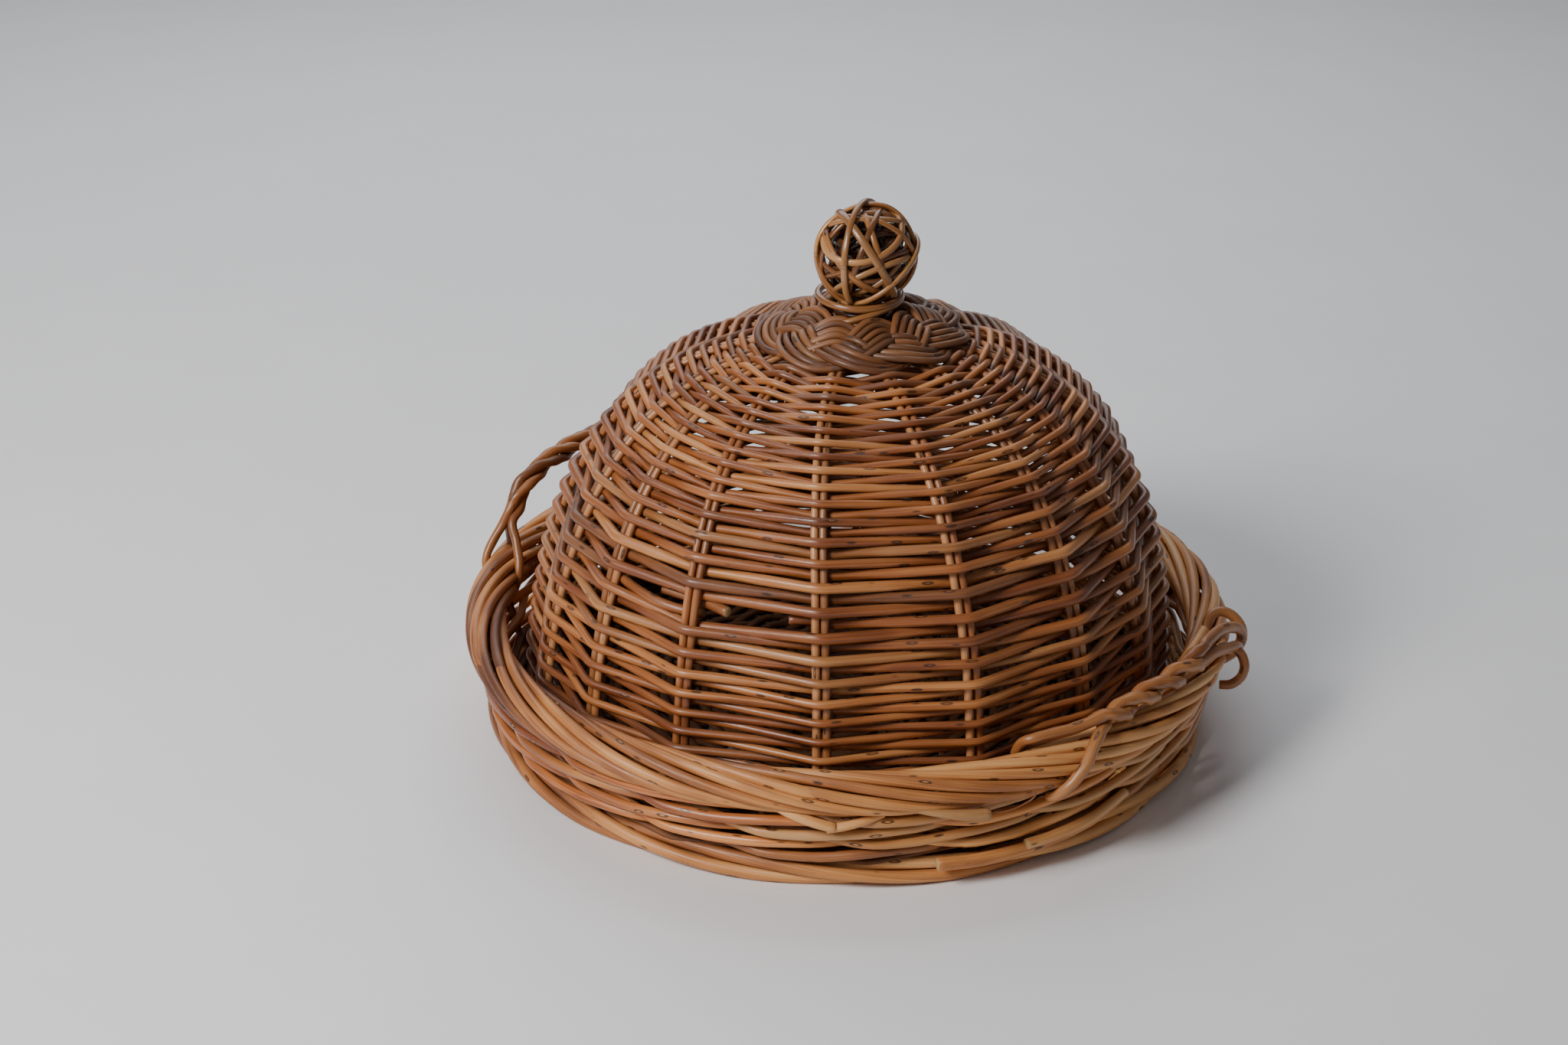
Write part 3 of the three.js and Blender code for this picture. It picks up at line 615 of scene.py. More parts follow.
# Materials
class Graph:
    """Short calls that make and join shader nodes."""

    def __init__(self, tree):
        self.tree = tree
        tree.nodes.clear()

    def node(self, kind, settings=None, **inputs):
        made = self.tree.nodes.new("ShaderNode" + kind)
        for name, value in (settings or {}).items():
            setattr(made, name, value)
        for name, value in inputs.items():
            self.feed(made.inputs[name.replace("_", " ")], value)
        return made

    def feed(self, socket, value):
        if isinstance(value, bpy.types.NodeSocket):
            self.tree.links.new(value, socket)
        else:
            socket.default_value = value

    def attribute(self, name, output):
        return self.node("Attribute", {"attribute_name": name}).outputs[output]

    def scaled(self, vector, scale):
        made = self.node("VectorMath", {"operation": "MULTIPLY"})
        self.feed(made.inputs[0], vector)
        self.feed(made.inputs[1], scale)
        return made.outputs[0]

    def noise(self, vector, detail=2, roughness=0.5):
        made = self.node("TexNoise", Vector=vector, Scale=1.0, Detail=detail, Roughness=roughness)
        return made.outputs[0]

    def math(self, operation, *values):
        made = self.node("Math", {"operation": operation})
        for socket, value in zip(made.inputs, values):
            self.feed(socket, value)
        return made.outputs[0]

    def spread(self, value, low, high, to_low=0.0, to_high=1.0):
        made = self.node("MapRange", {"interpolation_type": "SMOOTHSTEP"}, Value=value,
                         From_Min=low, From_Max=high, To_Min=to_low, To_Max=to_high)
        return made.outputs[0]

    def mix(self, share, a, b):
        made = self.node("Mix", {"data_type": "RGBA"})
        for place, value in ((0, share), (6, a), (7, b)):
            self.feed(made.inputs[place], value)
        return made.outputs[2]

    def ramp(self, share, stops):
        made = self.node("ValToRGB", Fac=share)
        elements = made.color_ramp.elements
        while len(elements) < len(stops):
            elements.new(0.5)
        for element, (place, colour) in zip(elements, stops):
            element.position = place
            element.color = colour
        return made.outputs[0]


def srgb(red, green, blue):
    """A colour given as it looks on a screen, from 0 to 255."""
    def linear(value):
        share = value / 255
        return share / 12.92 if share <= 0.04045 else ((share + 0.055) / 1.055) ** 2.4
    return (linear(red), linear(green), linear(blue), 1.0)


# Willow: scales are per millimetre along a rod and across it, and shares are how strongly each part shows
STREAK_SCALE = (0.014, 1.1, 1.1)
PATCH_SCALE = (0.021, 0.09, 0.09)
FLECK_SCALE = (0.22, 2.2, 2.2)
BUD_SCALE = (0.052, 0.19, 0.19)
SHADE_START = -0.4
TONE_SHARE = 0.5
STREAK_SHARE = 0.75
PATCH_SHARE = 0.75
SHADE_STOPS = (0.1, 0.38, 0.62, 0.92)  # deep, brown, honey and pale
AGED_FROM = 0.5
AGED_SHARE = 0.5
SCAR_EDGE = (0.2, 0.13)  # from a bud's middle, outside and inside
SCAR_SHARE = 0.85
CORE_EDGE = (0.1, 0.05)
CORE_SHARE = 0.7
SPECK_EDGE = (0.34, 0.26)
SPECK_SHARE = 0.45
DUST_AND_SHEEN_FROM = 0.25  # dust and a painted sheen lie where a rod faces up more than this
DUST_AND_SHEEN_PATCHES = (0.3, 0.7)
DUST_AND_SHEEN_LEAST = 0.5  # between its patches
ROUGHNESS = (0.6, 0.76)  # without varnish
ROUGH_EDGE = (0.25, 0.75)
WILLOW_GLOSS = 0.26
COAT_ROUGHNESS = 0.2
STREAK_HEIGHT = 0.8
SCAR_HEIGHT = -0.5
FIBRE_DEPTH = 0.25 * MM
FIBRE_STRENGTH = 0.5


def willow(name, deep, brown, honey, pale, dust_and_sheen, gloss=WILLOW_GLOSS):
    """Varnished willow: a tone for each rod, streaks along it, bud scars, and dust with a painted sheen on
    top.
    """
    material = bpy.data.materials.new(name)
    material.use_nodes = True
    graph = Graph(material.node_tree)
    grain = graph.attribute("grain", "Vector")
    tone = graph.attribute("tone", "Fac")
    streak = graph.noise(graph.scaled(grain, STREAK_SCALE), detail=4, roughness=0.62)
    patch = graph.noise(graph.scaled(grain, PATCH_SCALE))
    fleck = graph.noise(graph.scaled(grain, FLECK_SCALE), detail=3, roughness=0.6)
    shade = graph.math("MULTIPLY_ADD", tone, TONE_SHARE, SHADE_START)
    shade = graph.math("MULTIPLY_ADD", streak, STREAK_SHARE, shade)
    shade = graph.math("MULTIPLY_ADD", patch, PATCH_SHARE, shade)
    colour = graph.ramp(shade, list(zip(SHADE_STOPS, (deep, brown, honey, pale))))
    aged = graph.spread(graph.attribute("age", "Fac"), AGED_FROM, 1, 0, AGED_SHARE)
    colour = graph.mix(aged, colour, GREY)
    bud = graph.node("TexVoronoi", Vector=graph.scaled(grain, BUD_SCALE), Scale=1.0)
    scar = graph.spread(bud.outputs["Distance"], *SCAR_EDGE)
    core = graph.spread(bud.outputs["Distance"], *CORE_EDGE)
    colour = graph.mix(graph.math("MULTIPLY", scar, SCAR_SHARE), colour, SCAR)
    colour = graph.mix(graph.math("MULTIPLY", core, CORE_SHARE), colour, honey)
    speck = graph.spread(fleck, *SPECK_EDGE)
    colour = graph.mix(graph.math("MULTIPLY", speck, SPECK_SHARE), colour, deep)
    pith = graph.mix(fleck, PITH, PALE_PITH)
    colour = graph.mix(graph.attribute("cut", "Fac"), colour, pith)
    normal = graph.node("SeparateXYZ", Vector=graph.node("NewGeometry").outputs["Normal"])
    # Upper faces are greyed: dust, and a painted sheen where light falls on top
    upward = graph.spread(normal.outputs["Z"], DUST_AND_SHEEN_FROM, 1.0)
    patchy = graph.spread(patch, *DUST_AND_SHEEN_PATCHES, to_low=DUST_AND_SHEEN_LEAST)
    dust_and_sheen_mask = graph.math("MULTIPLY", upward, patchy)
    colour = graph.mix(graph.math("MULTIPLY", dust_and_sheen_mask, dust_and_sheen), colour, DUST_AND_SHEEN)
    smooth, matt = (rough - gloss for rough in ROUGHNESS)
    rough = graph.spread(fleck, *ROUGH_EDGE, smooth, matt)
    fibres = graph.math("MULTIPLY_ADD", streak, STREAK_HEIGHT, fleck)
    height = graph.math("MULTIPLY_ADD", scar, SCAR_HEIGHT, fibres)
    bump = graph.node("Bump", Strength=FIBRE_STRENGTH, Distance=FIBRE_DEPTH, Height=height)
    shader = graph.node("BsdfPrincipled", Base_Color=colour, Roughness=rough, Normal=bump.outputs[0],
                        Coat_Weight=gloss, Coat_Roughness=COAT_ROUGHNESS)
    output = graph.node("OutputMaterial")
    graph.feed(output.inputs["Surface"], shader.outputs[0])
    return material


DEEP = srgb(70, 30, 11)
BROWN = srgb(126, 64, 26)
HONEY = srgb(166, 97, 44)
PALE = srgb(203, 138, 80)
GREY = srgb(102, 70, 43)  # of rods that have aged
SCAR = srgb(42, 20, 10)
PITH = srgb(150, 112, 70)  # of a cut end
PALE_PITH = srgb(205, 172, 122)
# Grey of dust, and of a painted sheen, on the rods' upper faces
DUST_AND_SHEEN = srgb(142, 115, 92)

# Looks of each material: deep, brown, honey, pale, how much dust and painted sheen lie on top, and gloss
LOOKS = {
    "stake_willow": (srgb(92, 46, 22), srgb(148, 86, 45), srgb(174, 109, 61), srgb(198, 140, 92), 0.1),
    "weaver_willow": (DEEP, BROWN, HONEY, PALE, 0.15),
    "plait_willow": (srgb(48, 24, 11), srgb(90, 49, 23), srgb(122, 71, 35), srgb(150, 97, 54), 0.1, 0.16),
    "knob_willow": (srgb(44, 20, 8), srgb(90, 48, 20), srgb(140, 86, 40), srgb(192, 137, 82), 0.03, 0.4),
    # floor_willow is painted darker than the other willow, as painted shade on the tray's floor inside the
    # basket
    "floor_willow": (srgb(50, 24, 10), srgb(84, 44, 19), srgb(110, 64, 30), srgb(140, 90, 48), 0, 0),
    "border_willow": (srgb(92, 47, 20), srgb(164, 99, 49), srgb(208, 140, 76), srgb(228, 172, 110),
                      0.1, 0.14),
    "handle_willow": (DEEP, srgb(118, 66, 30), srgb(154, 94, 46), srgb(184, 124, 70), 0.08),
    # lit_wall_willow is the weavers' willow painted lighter, as painted light on the wall in the border's
    # shade
    "lit_wall_willow": (srgb(120, 58, 24), srgb(196, 116, 56), srgb(230, 156, 84), srgb(240, 184, 120), 0.05),
}
materials = {name: willow(name, *look) for name, look in LOOKS.items()}


# Dome
def dome_profile():
    first = math.asin((STAKE_FOOT_HEIGHT / LID_HEIGHT) ** (LID_RISE_POWER / 2))
    last = math.acos((STAKE_END_RADIUS / LID_RADIUS) ** (LID_SIDE_POWER / 2))
    points = 80
    steep = np.linspace(first, last, points)
    radius = LID_RADIUS * np.cos(steep) ** (2 / LID_SIDE_POWER)
    height = LID_HEIGHT * np.sin(steep) ** (2 / LID_RISE_POWER)
    return Profile(np.column_stack([radius, height]))


dome = dome_profile()


def stake_angle(pair, place):
    even = TURN * pair / STAKE_PAIRS
    drift = STAKE_DRIFT * math.sin(STAKE_DRIFT_WAVES * even + STAKE_DRIFT_START)
    lean = CROWN_TWIST + CROWN_DRIFT * math.sin(CROWN_DRIFT_WAVES * even + CROWN_DRIFT_START)
    return STAKE_START + even + drift + lean * (place / dome.length) ** 2


def stake_rod(place):
    return STAKE_FOOT + (STAKE_TIP - STAKE_FOOT) * place / dome.length


def make_stakes():
    points = 70
    for pair in range(STAKE_PAIRS):
        bundle = Bundle(seed=100 + pair)
        for way in (-0.5, 0.5):
            line = []
            for place in np.linspace(0, dome.length, points):
                rod = stake_rod(place)
                angle = stake_angle(pair, place) + way * (rod + STAKE_GAP) / dome.at(place)[0]
                line.append(dome.station(place, angle, 0, rod / 2))
            bundle.rod(swayed(np.array(line), STAKE_SWAY, bundle.random))
        name = f"lid_stake_pair_{pair + 1:02d}"
        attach(bundle.piece(name + "_willow", "lid", "stake_willow", name), "lid")


def row_pitch(place):
    shares = np.linspace(0, dome.length, len(ROW_PITCHES))
    return float(np.interp(place, shares, ROW_PITCHES))


def row_places():
    heights = dome.columns[1]
    places = [float(np.interp(FIRST_ROW, heights, dome.places))]
    while True:
        after = places[-1] + row_pitch(places[-1])
        if dome.at(after)[0] < LAST_ROW_RADIUS:
            return places
        places.append(after)


rows = row_places()


def row_place(row):
    return float(np.interp(row, range(len(rows)), rows))


def weaver_rod(helix, first, last, rng):
    """One rod of the weave, from behind one pair of stakes to behind another."""
    stations = []
    butt_first = rng.random() < 0.5
    for step in range(first, last + 1):
        place = row_place(2 * step / STAKE_PAIRS + helix)
        if (helix, step) == SAGGING:
            place -= SAG
        share = (step - first) / (last - first)
        thin = WEAVER_TAPER * (share if butt_first else 1 - share)
        radius = row_pitch(place) * (np.interp(place, (0, dome.length), ROD_OF_PITCH) - thin) / 2
        side = 1 if (step + helix) % 2 == 0 else -1
        rod = stake_rod(place)
        off = side * (rod / 2 + radius) * np.interp(place, (0, dome.length), STAND_OFF)
        angle = stake_angle(step, place)
        hold = WEAVER_HOLD * rod / dome.at(place)[0]
        before = WEAVER_TAIL if step == first else 1
        after = WEAVER_TAIL if step == last else 1
        place += rng.gauss(0, ROW_SCATTER) * row_pitch(place)
        for turn in (-before, after):
            stations.append(dome.station(place, angle + turn * hold, off, radius))
    return swayed(filled(eased(np.array(stations), WEAVER_BEND), WEAVER_STEP), WEAVER_SWAY, rng)


def even_parts(first, last, count):
    """Places that part a stretch of the weave, an even number of stakes from each other."""
    return [first + 2 * round((last - first) * part / count / 2) for part in range(count + 1)]


def make_weavers():
    steps = int((len(rows) - 1) * STAKE_PAIRS / 2)
    for helix in range(2):
        start = -helix * STAKE_PAIRS // 2 + 1 - helix
        cuts = even_parts(start, start + steps, WEAVER_LENGTHS)
        for length, (first, last) in enumerate(zip(cuts, cuts[1:])):
            bundle = Bundle(seed=200 + 20 * helix + length)
            joins = even_parts(first, last, RODS_IN_LENGTH)
            broken = helix == BROKEN_HELIX and first < BROKEN_SPAN[0] < last
            if broken:
                joins = sorted([*joins, *BROKEN_SPAN])
                for end in BROKEN_ENDS:
                    bundle.rod(flowing(rod_end(end)), tone=0.3)
            for here, there in zip(joins, joins[1:]):
                if not broken or (here, there) != BROKEN_SPAN:
                    bundle.rod(weaver_rod(helix, here, there, bundle.random))
            name = f"lid_weaver_{'ab'[helix]}{length + 1}"
            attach(bundle.piece(name + "_willow", "lid", "weaver_willow", name), "lid")


# Twisted rings: strands that wind round a circle
def wound(angle, winds, strand_share, drift, rng):
    """Directions from a ring's core to a strand that winds round it."""
    lay = TURN * strand_share - winds * angle - QUARTER
    lay = lay + drift * np.sin(angle * rng.randint(*RING_WAVES) + rng.uniform(0, TURN))
    return outwards(angle) * np.cos(lay)[:, None] + UP * np.sin(lay)[:, None]


def uneven(angle, rng):
    """A strand's thickness along it, as a share of the even one."""
    return 1 + GIRTH_CHANGE * np.sin(angle * rng.randint(*GIRTH_WAVES) + rng.uniform(0, TURN))


def ring_strand(radius, middle, thickness, strands, winds, strand, count, rng, drift=0.0):
    """One closed strand of a roped ring."""
    rod = strand_rod(thickness, strands)
    angle = TURN * np.arange(count) / count
    out = wound(angle, winds, strand / strands, drift, rng)
    points = polar(angle, radius, middle) + out * (thickness - rod) / 2
    return line_of(points, out, rod / 2 * uneven(angle, rng))


def strand_rod(thickness, strands):
    """Diameter of each of the strands that make up a rope of this thickness."""
    spread = math.sin(math.pi / strands)
    return (thickness * spread - STRAND_GAP) / (1 + spread)


def make_rim():
    bundle = Bundle(seed=300)
    points = 480
    for strand in range(RIM_STRANDS):
        line = ring_strand(LID_RADIUS, RIM_MIDDLE, RIM_THICKNESS, RIM_STRANDS, RIM_WINDS, strand, points,
                           bundle.random)
        bundle.rod(line, closed=True, sides=FEW_SIDES)
    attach(bundle.piece("lid_rim_hoop_willow", "lid", "stake_willow", "lid_rim_hoop"), "lid")


# Crown
def plait_height(points):
    """Height of the plait's middle, which slopes down from the knob."""
    return PLAIT_HEIGHT - PLAIT_SLOPE * (np.hypot(points[:, 0], points[:, 1]) - PLAIT_RADIUS)


def make_plait():
    """Three bands in waves. Each half wave is a lobe of rods, whose ends go under the next band."""
    for band in range(PLAIT_BANDS):
        bundle = Bundle(seed=400 + band)
        rng = bundle.random
        phase = TURN * band / PLAIT_BANDS
        share = np.linspace(-1, 1, PLAIT_POINTS)
        for lobe in range(2 * PLAIT_WAVES):
            middle = PLAIT_FIRST_LOBE + math.pi * lobe - phase
            angle = (middle + PLAIT_LOBE * share) / PLAIT_WAVES
            wave = PLAIT_WAVES * angle + phase
            centre = polar(angle, PLAIT_RADIUS + PLAIT_SWING * np.sin(wave), 0)
            across = np.cross(unit(np.gradient(centre, axis=0)), UP)
            width = PLAIT_NARROW + (1 - PLAIT_NARROW) * np.cos(share * QUARTER)
            crossing = PLAIT_LIFT * np.sin(2 * wave) - PLAIT_TUCK * np.abs(share) ** 4
            for place in range(PLAIT_RODS):
                off = (place - (PLAIT_RODS - 1) / 2) * PLAIT_ROD * PLAIT_PITCH * width
                points = centre + across * off[:, None]
                points[:, 2] = plait_height(points) + crossing + rng.uniform(*PLAIT_LIFTS)
                size = PLAIT_ROD / 2 * rng.uniform(*PLAIT_SIZES)
                bundle.rod(swayed(line_of(points, UP, size), PLAIT_SWAY, rng))
        name = f"lid_plait_band_{band + 1}"
        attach(bundle.piece(name + "_willow", "lid", "plait_willow", name), "lid")


# Knob
def image_axes():
    """Right, up and towards the camera."""
    flat = np.array([math.sin(CAMERA_AZIMUTH), -math.cos(CAMERA_AZIMUTH), 0])
    towards = flat * math.cos(CAMERA_ELEVATION) + UP * math.sin(CAMERA_ELEVATION)
    right = np.array([math.cos(CAMERA_AZIMUTH), math.sin(CAMERA_AZIMUTH), 0])
    return right, np.cross(towards, right), towards


def hoop_axes(count):
    """Directions spread evenly over half a ball."""
    golden = math.pi * (3 - math.sqrt(5))
    height = (np.arange(count) + 0.5) / count
    flat = np.sqrt(1 - height ** 2)
    angle = golden * np.arange(count)
    return list(np.column_stack([flat * np.cos(angle), flat * np.sin(angle), height]))


def ball_hoop(axis, level, shift, rng):
    """A slightly uneven hoop on a ball of some radius, moved along its own axis."""
    points = 64
    upright = abs(axis[2]) >= 0.9
    first = unit(np.cross(axis, image_axes()[0] if upright else UP))
    turns = TURN * np.arange(points) / points
    out = np.cos(turns)[:, None] * first + np.sin(turns)[:, None] * np.cross(axis, first)
    bends = HOOP_UNEVENNESS * np.sin(turns * rng.randint(*HOOP_WAVES) + rng.uniform(0, TURN))
    radius = math.sqrt(level ** 2 - shift ** 2) + bends
    middle = UP * BALL_HEIGHT
    places = middle + out * radius[:, None] + axis * shift
    return line_of(places, unit(places - middle), BALL_ROD / 2 * rng.uniform(*HOOP_SIZES))


def make_ball():
    bundle = Bundle(seed=500)
    rng = bundle.random
    outside = BALL_RADIUS - BALL_ROD * BALL_ROD_FLATNESS / 2 - HOOP_UNEVENNESS
    hoops = []
    for *axis, shift, depth in BALL_FRONT_HOOPS:
        axis = np.array(axis) @ image_axes()
        hoops.append((axis, outside - depth, shift, rng.uniform(*BALL_FRONT_TONES)))
    for axis in hoop_axes(BALL_HOOPS):
        axis = axis + np.array([rng.gauss(0, HOOP_SCATTER) for _ in range(3)])
        level = rng.uniform(*BALL_HOOP_RADII)
        hoops.append((axis, level, rng.uniform(*HOOP_SHIFTS), rng.uniform(*BALL_HOOP_SHADE_TONES)))
    for axis in hoop_axes(BALL_INNER_HOOPS):
        level = rng.uniform(*BALL_INNER_RADII)
        hoops.append((axis, level, rng.uniform(*HOOP_SHIFTS), rng.uniform(*BALL_INNER_SHADE_TONES)))
    # The deeper hoops' darker tones are painted shade inside the ball
    for axis, level, shift, tone in hoops:
        line = ball_hoop(unit(axis), level, shift, rng)
        bundle.rod(line, closed=True, tone=tone, flat=BALL_ROD_FLATNESS)
    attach(bundle.piece("knob_ball_willow", "lid", "knob_willow", "knob_ball"), "lid")


def make_binding():
    """A rod wound loosely under the ball, over a wound neck."""
    bundle = Bundle(seed=510)
    points = 40
    turn = np.linspace(0, BINDING_TURNS[-1], points)
    radius = np.interp(turn, BINDING_TURNS, BINDING_RADII)
    height = np.interp(turn, BINDING_TURNS, BINDING_HEIGHTS)
    loops = polar(BINDING_START - TURN * turn, radius, height)
    loops += image_axes()[0] * BINDING_SHIFT
    loops = np.column_stack([loops, np.full_like(turn, BINDING_ROD / 2)])
    bundle.rod(flowing(loops), tone=0.6)
    angle = np.linspace(0, TURN * NECK_TURNS, points * NECK_TURNS)
    neck = polar(angle, NECK_RADIUS, NECK_FIRST + BINDING_ROD * NECK_PITCH * angle / TURN)
    bundle.rod(swayed(line_of(neck, outwards(angle), BINDING_ROD / 2), NECK_SWAY, bundle.random))
    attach(bundle.piece("knob_binding_willow", "lid", "knob_willow", "knob_binding"), "lid")


def make_cross():
    bundle = Bundle(seed=520)
    for pair in (0, STAKE_PAIRS // 4):
        ends = [stake_angle(pair + half, dome.length) for half in (0, STAKE_PAIRS // 2)]
        line = line_of(polar(ends, CROSS_RADIUS, CROSS_HEIGHT), UP, CROSS_ROD / 2)
        bundle.rod(swayed(filled(line, CROSS_STEP), CROSS_SWAY, bundle.random))
    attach(bundle.piece("knob_cross_sticks_willow", "lid", "knob_willow", "knob_cross_sticks"), "lid")


# Tray
def wall_radius(height):
    share = (height - WALL_FOOT_HEIGHT) / (WALL_TOP - WALL_FOOT_HEIGHT)
    return WALL_FOOT_RADIUS + (BORDER_RADIUS - WALL_FOOT_RADIUS) * share


def floor_stick(first, last, offset, across, level):
    """A stick of the floor, through the middle and up the wall at both ends."""
    ahead = np.cross(across, UP)
    knee = FOOT_THICKNESS / 2 + WALL_STAKE_ROD / 2
    top = WALL_TOP + STICK_INTO_BORDER
    stations = []
    for angle, way in ((first, 1), (last, -1)):
        inwards = -outwards(angle)
        crossing = ahead * way * SLATH_REACH + across * offset + UP * level
        arm = [
            station(polar(angle, wall_radius(top), top), inwards, WALL_STAKE_ROD / 2),
            station(polar(angle, WALL_FOOT_RADIUS, FOOT_MIDDLE + knee), inwards, WALL_STAKE_ROD / 2),
            station(polar(angle, WALL_FOOT_RADIUS - knee, FLOOR_MIDDLE), UP, FLOOR_STICK / 2),
            station(polar(angle, SLATH_REACH * 2, FLOOR_MIDDLE), UP, FLOOR_STICK / 2),
            station(crossing, UP, FLOOR_STICK / 2),
        ]
        stations += arm[::way]
    return filled(eased(np.array(stations), reach=12, steps=6), longest=14)


def make_floor():
    bundle = Bundle(seed=600)
    arm_sticks = WALL_STAKES // 4
    for direction in range(2):
        towards = QUARTER * direction
        level = FLOOR_MIDDLE + FLOOR_STICK * (0.5 - direction)
        for place in range(arm_sticks):
            slot = place - (arm_sticks - 1) / 2
            near = towards + TURN * slot / WALL_STAKES
            far = towards + math.pi - TURN * slot / WALL_STAKES
            offset = slot * FLOOR_STICK * STICK_PITCH
            line = floor_stick(near, far, offset, outwards(towards + QUARTER), level)
            bundle.rod(line, sides=FEW_SIDES)
    make_floor_weave(bundle)
    points = 72
    angle = TURN * np.arange(points) / points
    for row in range(SLATH_ROWS):
        wave = (-1) ** row * FLOOR_STICK * np.cos(2 * angle)
        ring = polar(angle, SLATH_FIRST + row * FLOOR_PITCH, FLOOR_MIDDLE + wave)
        bundle.rod(line_of(ring, UP, FLOOR_WEAVER / 2), closed=True, flat=FLOOR_FLATNESS, sides=FEW_SIDES)
    # Its material is painted darker, as painted shade inside the basket
    node = "tray_floor_and_stakes"
    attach(bundle.piece(node + "_willow", "tray", "floor_willow", node), "tray")


def make_floor_weave(bundle):
    """Two weavers that chase each other outwards, over one stick and under the next."""
    turns = int((FLOOR_EDGE - FLOOR_INNER) / FLOOR_PITCH)
    steps = turns * WALL_STAKES // 2
    stand_off = (FLOOR_STICK + FLOOR_WEAVER * FLOOR_FLATNESS) / 2
    first_angle = TURN / WALL_STAKES / 2
    rod_steps = FLOOR_ROD_TURNS * WALL_STAKES
    for helix in range(2):
        stations = []
        for step in range(-helix * WALL_STAKES // 2, steps):
            row = 2 * step / WALL_STAKES + helix
            angle = first_angle + TURN * step / WALL_STAKES
            side = 1 if (step + helix) % 2 == 0 else -1
            radius = FLOOR_INNER + row * FLOOR_PITCH
            rise = FLOOR_RISE * max(0, radius - FLOOR_BEND)
            point = polar(angle, radius, FLOOR_MIDDLE + rise + side * stand_off)
            stations.append(station(point, UP, FLOOR_WEAVER / 2))
        for begin in range(0, len(stations) - 1, rod_steps):
            line = np.array(stations[begin:begin + rod_steps + 1])
            if len(line) > 2:
                line = filled(eased(line, reach=5, steps=2), longest=16)
                line = swayed(line, FLOOR_SWAY, bundle.random)
                bundle.rod(line, flat=FLOOR_FLATNESS, sides=FEW_SIDES)


def painted_shade_share(points):
    """How much painted shade darkens the tray's rods at these points, from 0 to 1."""
    angle = np.arctan2(points[:, 1], points[:, 0])
    return (0.5 + 0.5 * np.cos(angle - PAINTED_SHADE_SIDE)) ** PAINTED_SHADE_NARROWNESS


def make_wall():
    """Three rods at a time, each in front of two stakes and behind one."""
    bundle = Bundle(seed=610)
    rng = bundle.random
    pitch = (WALL_TOP - WALL_FOOT_HEIGHT) / WALL_ROWS
    stand_off = (WALL_STAKE_ROD + WALL_ROD) / 2
    half_step = TURN / WALL_STAKES / 2
    for row in range(WALL_ROWS):
        join = WALL_JOIN_STEP * row
        for begin in range(join, join + WALL_STAKES, WALL_ROD_STAKES):
            stations = []
            for stake in range(begin, min(begin + WALL_ROD_STAKES, join + WALL_STAKES) + 1):
                phase = (stake + row) % WALL_WALE
                depth = -1 if phase == 0 else 1
                lift = 0.5 + WALL_SLANTS[phase] + rng.gauss(0, WALL_SCATTER)
                height = WALL_FOOT_HEIGHT + (row + lift) * pitch
                angle = half_step + TURN * stake / WALL_STAKES
                for turn, reach in ((angle, depth), (angle + half_step, WALL_BETWEEN[phase])):
                    point = polar(turn, wall_radius(height) + reach * stand_off, height)
                    radius = WALL_ROD / 2 * rng.uniform(*WALL_SIZES)
                    stations.append(station(point, outwards(turn), radius))
            line = filled(eased(np.array(stations[:-1]), reach=8, steps=3), longest=12)
            line = swayed(line, WALL_SWAY, rng)
            # The tone is lowered by painted shade on one side of the tray
            bundle.rod(line, tone=rng.random() - WALL_PAINTED_SHADE * painted_shade_share(line))
    bundle.rod(flowing(rod_end(WALL_CUT)))
    nodes = numbered("tray_wall_weaver", 4)
    # The wall's weavers get the lighter look: painted light under the border's overhang
    made = bundle.piece("tray_wall_weave", "tray", "weaver_willow", *nodes, look="lit_wall_willow")
    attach(made, "tray")


def make_foot():
    points = 240
    for strand in range(FOOT_STRANDS):
        bundle = Bundle(seed=620 + strand)
        line = ring_strand(WALL_FOOT_RADIUS, FOOT_MIDDLE, FOOT_THICKNESS, FOOT_STRANDS, FOOT_WINDS, strand,
                           points, bundle.random, FOOT_DRIFT)
        line[:, 2] = np.maximum(line[:, 2], line[:, 6])  # no lower than the table
        # The tone is lowered by painted shade on one side of the tray
        tone = bundle.random.uniform(*FOOT_TONES) - FOOT_PAINTED_SHADE * painted_shade_share(line)
        bundle.rod(line, closed=True, tone=tone, age=0, sides=MANY_SIDES)
        if strand == 0:
            bundle.rod(flowing(rod_end(FOOT_CUT)))
        name = f"tray_foot_strand_{strand + 1}"
        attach(bundle.piece(name + "_willow", "tray", "border_willow", name), "tray")


def border_rod(strand, first, last, rng):
    """A rod of the border, whose thin ends are tucked inside it."""
    points = 130
    rod = strand_rod(BORDER_THICKNESS, BORDER_STRANDS)
    angle = np.linspace(first, last, points)
    from_end = np.clip(np.minimum(angle - first, last - angle) / BORDER_TUCK, 0, 1)
    out_of_core = from_end ** 2 * (3 - 2 * from_end)
    out = wound(angle, BORDER_WINDS, strand / BORDER_STRANDS, BORDER_DRIFT, rng)
    reach = (BORDER_THICKNESS - rod) / 2 - BORDER_TUCK_DEPTH * (1 - out_of_core)
    reach = reach + BORDER_UNEVENNESS * np.sin(angle * BORDER_WAVES + rng.uniform(0, TURN))
    taper = BORDER_TIP + (1 - BORDER_TIP) * out_of_core
    radius = rod / 2 * BORDER_SLIM * uneven(angle, rng) * taper
    return line_of(polar(angle, BORDER_RADIUS, BORDER_MIDDLE) + out * reach[:, None], out, radius)


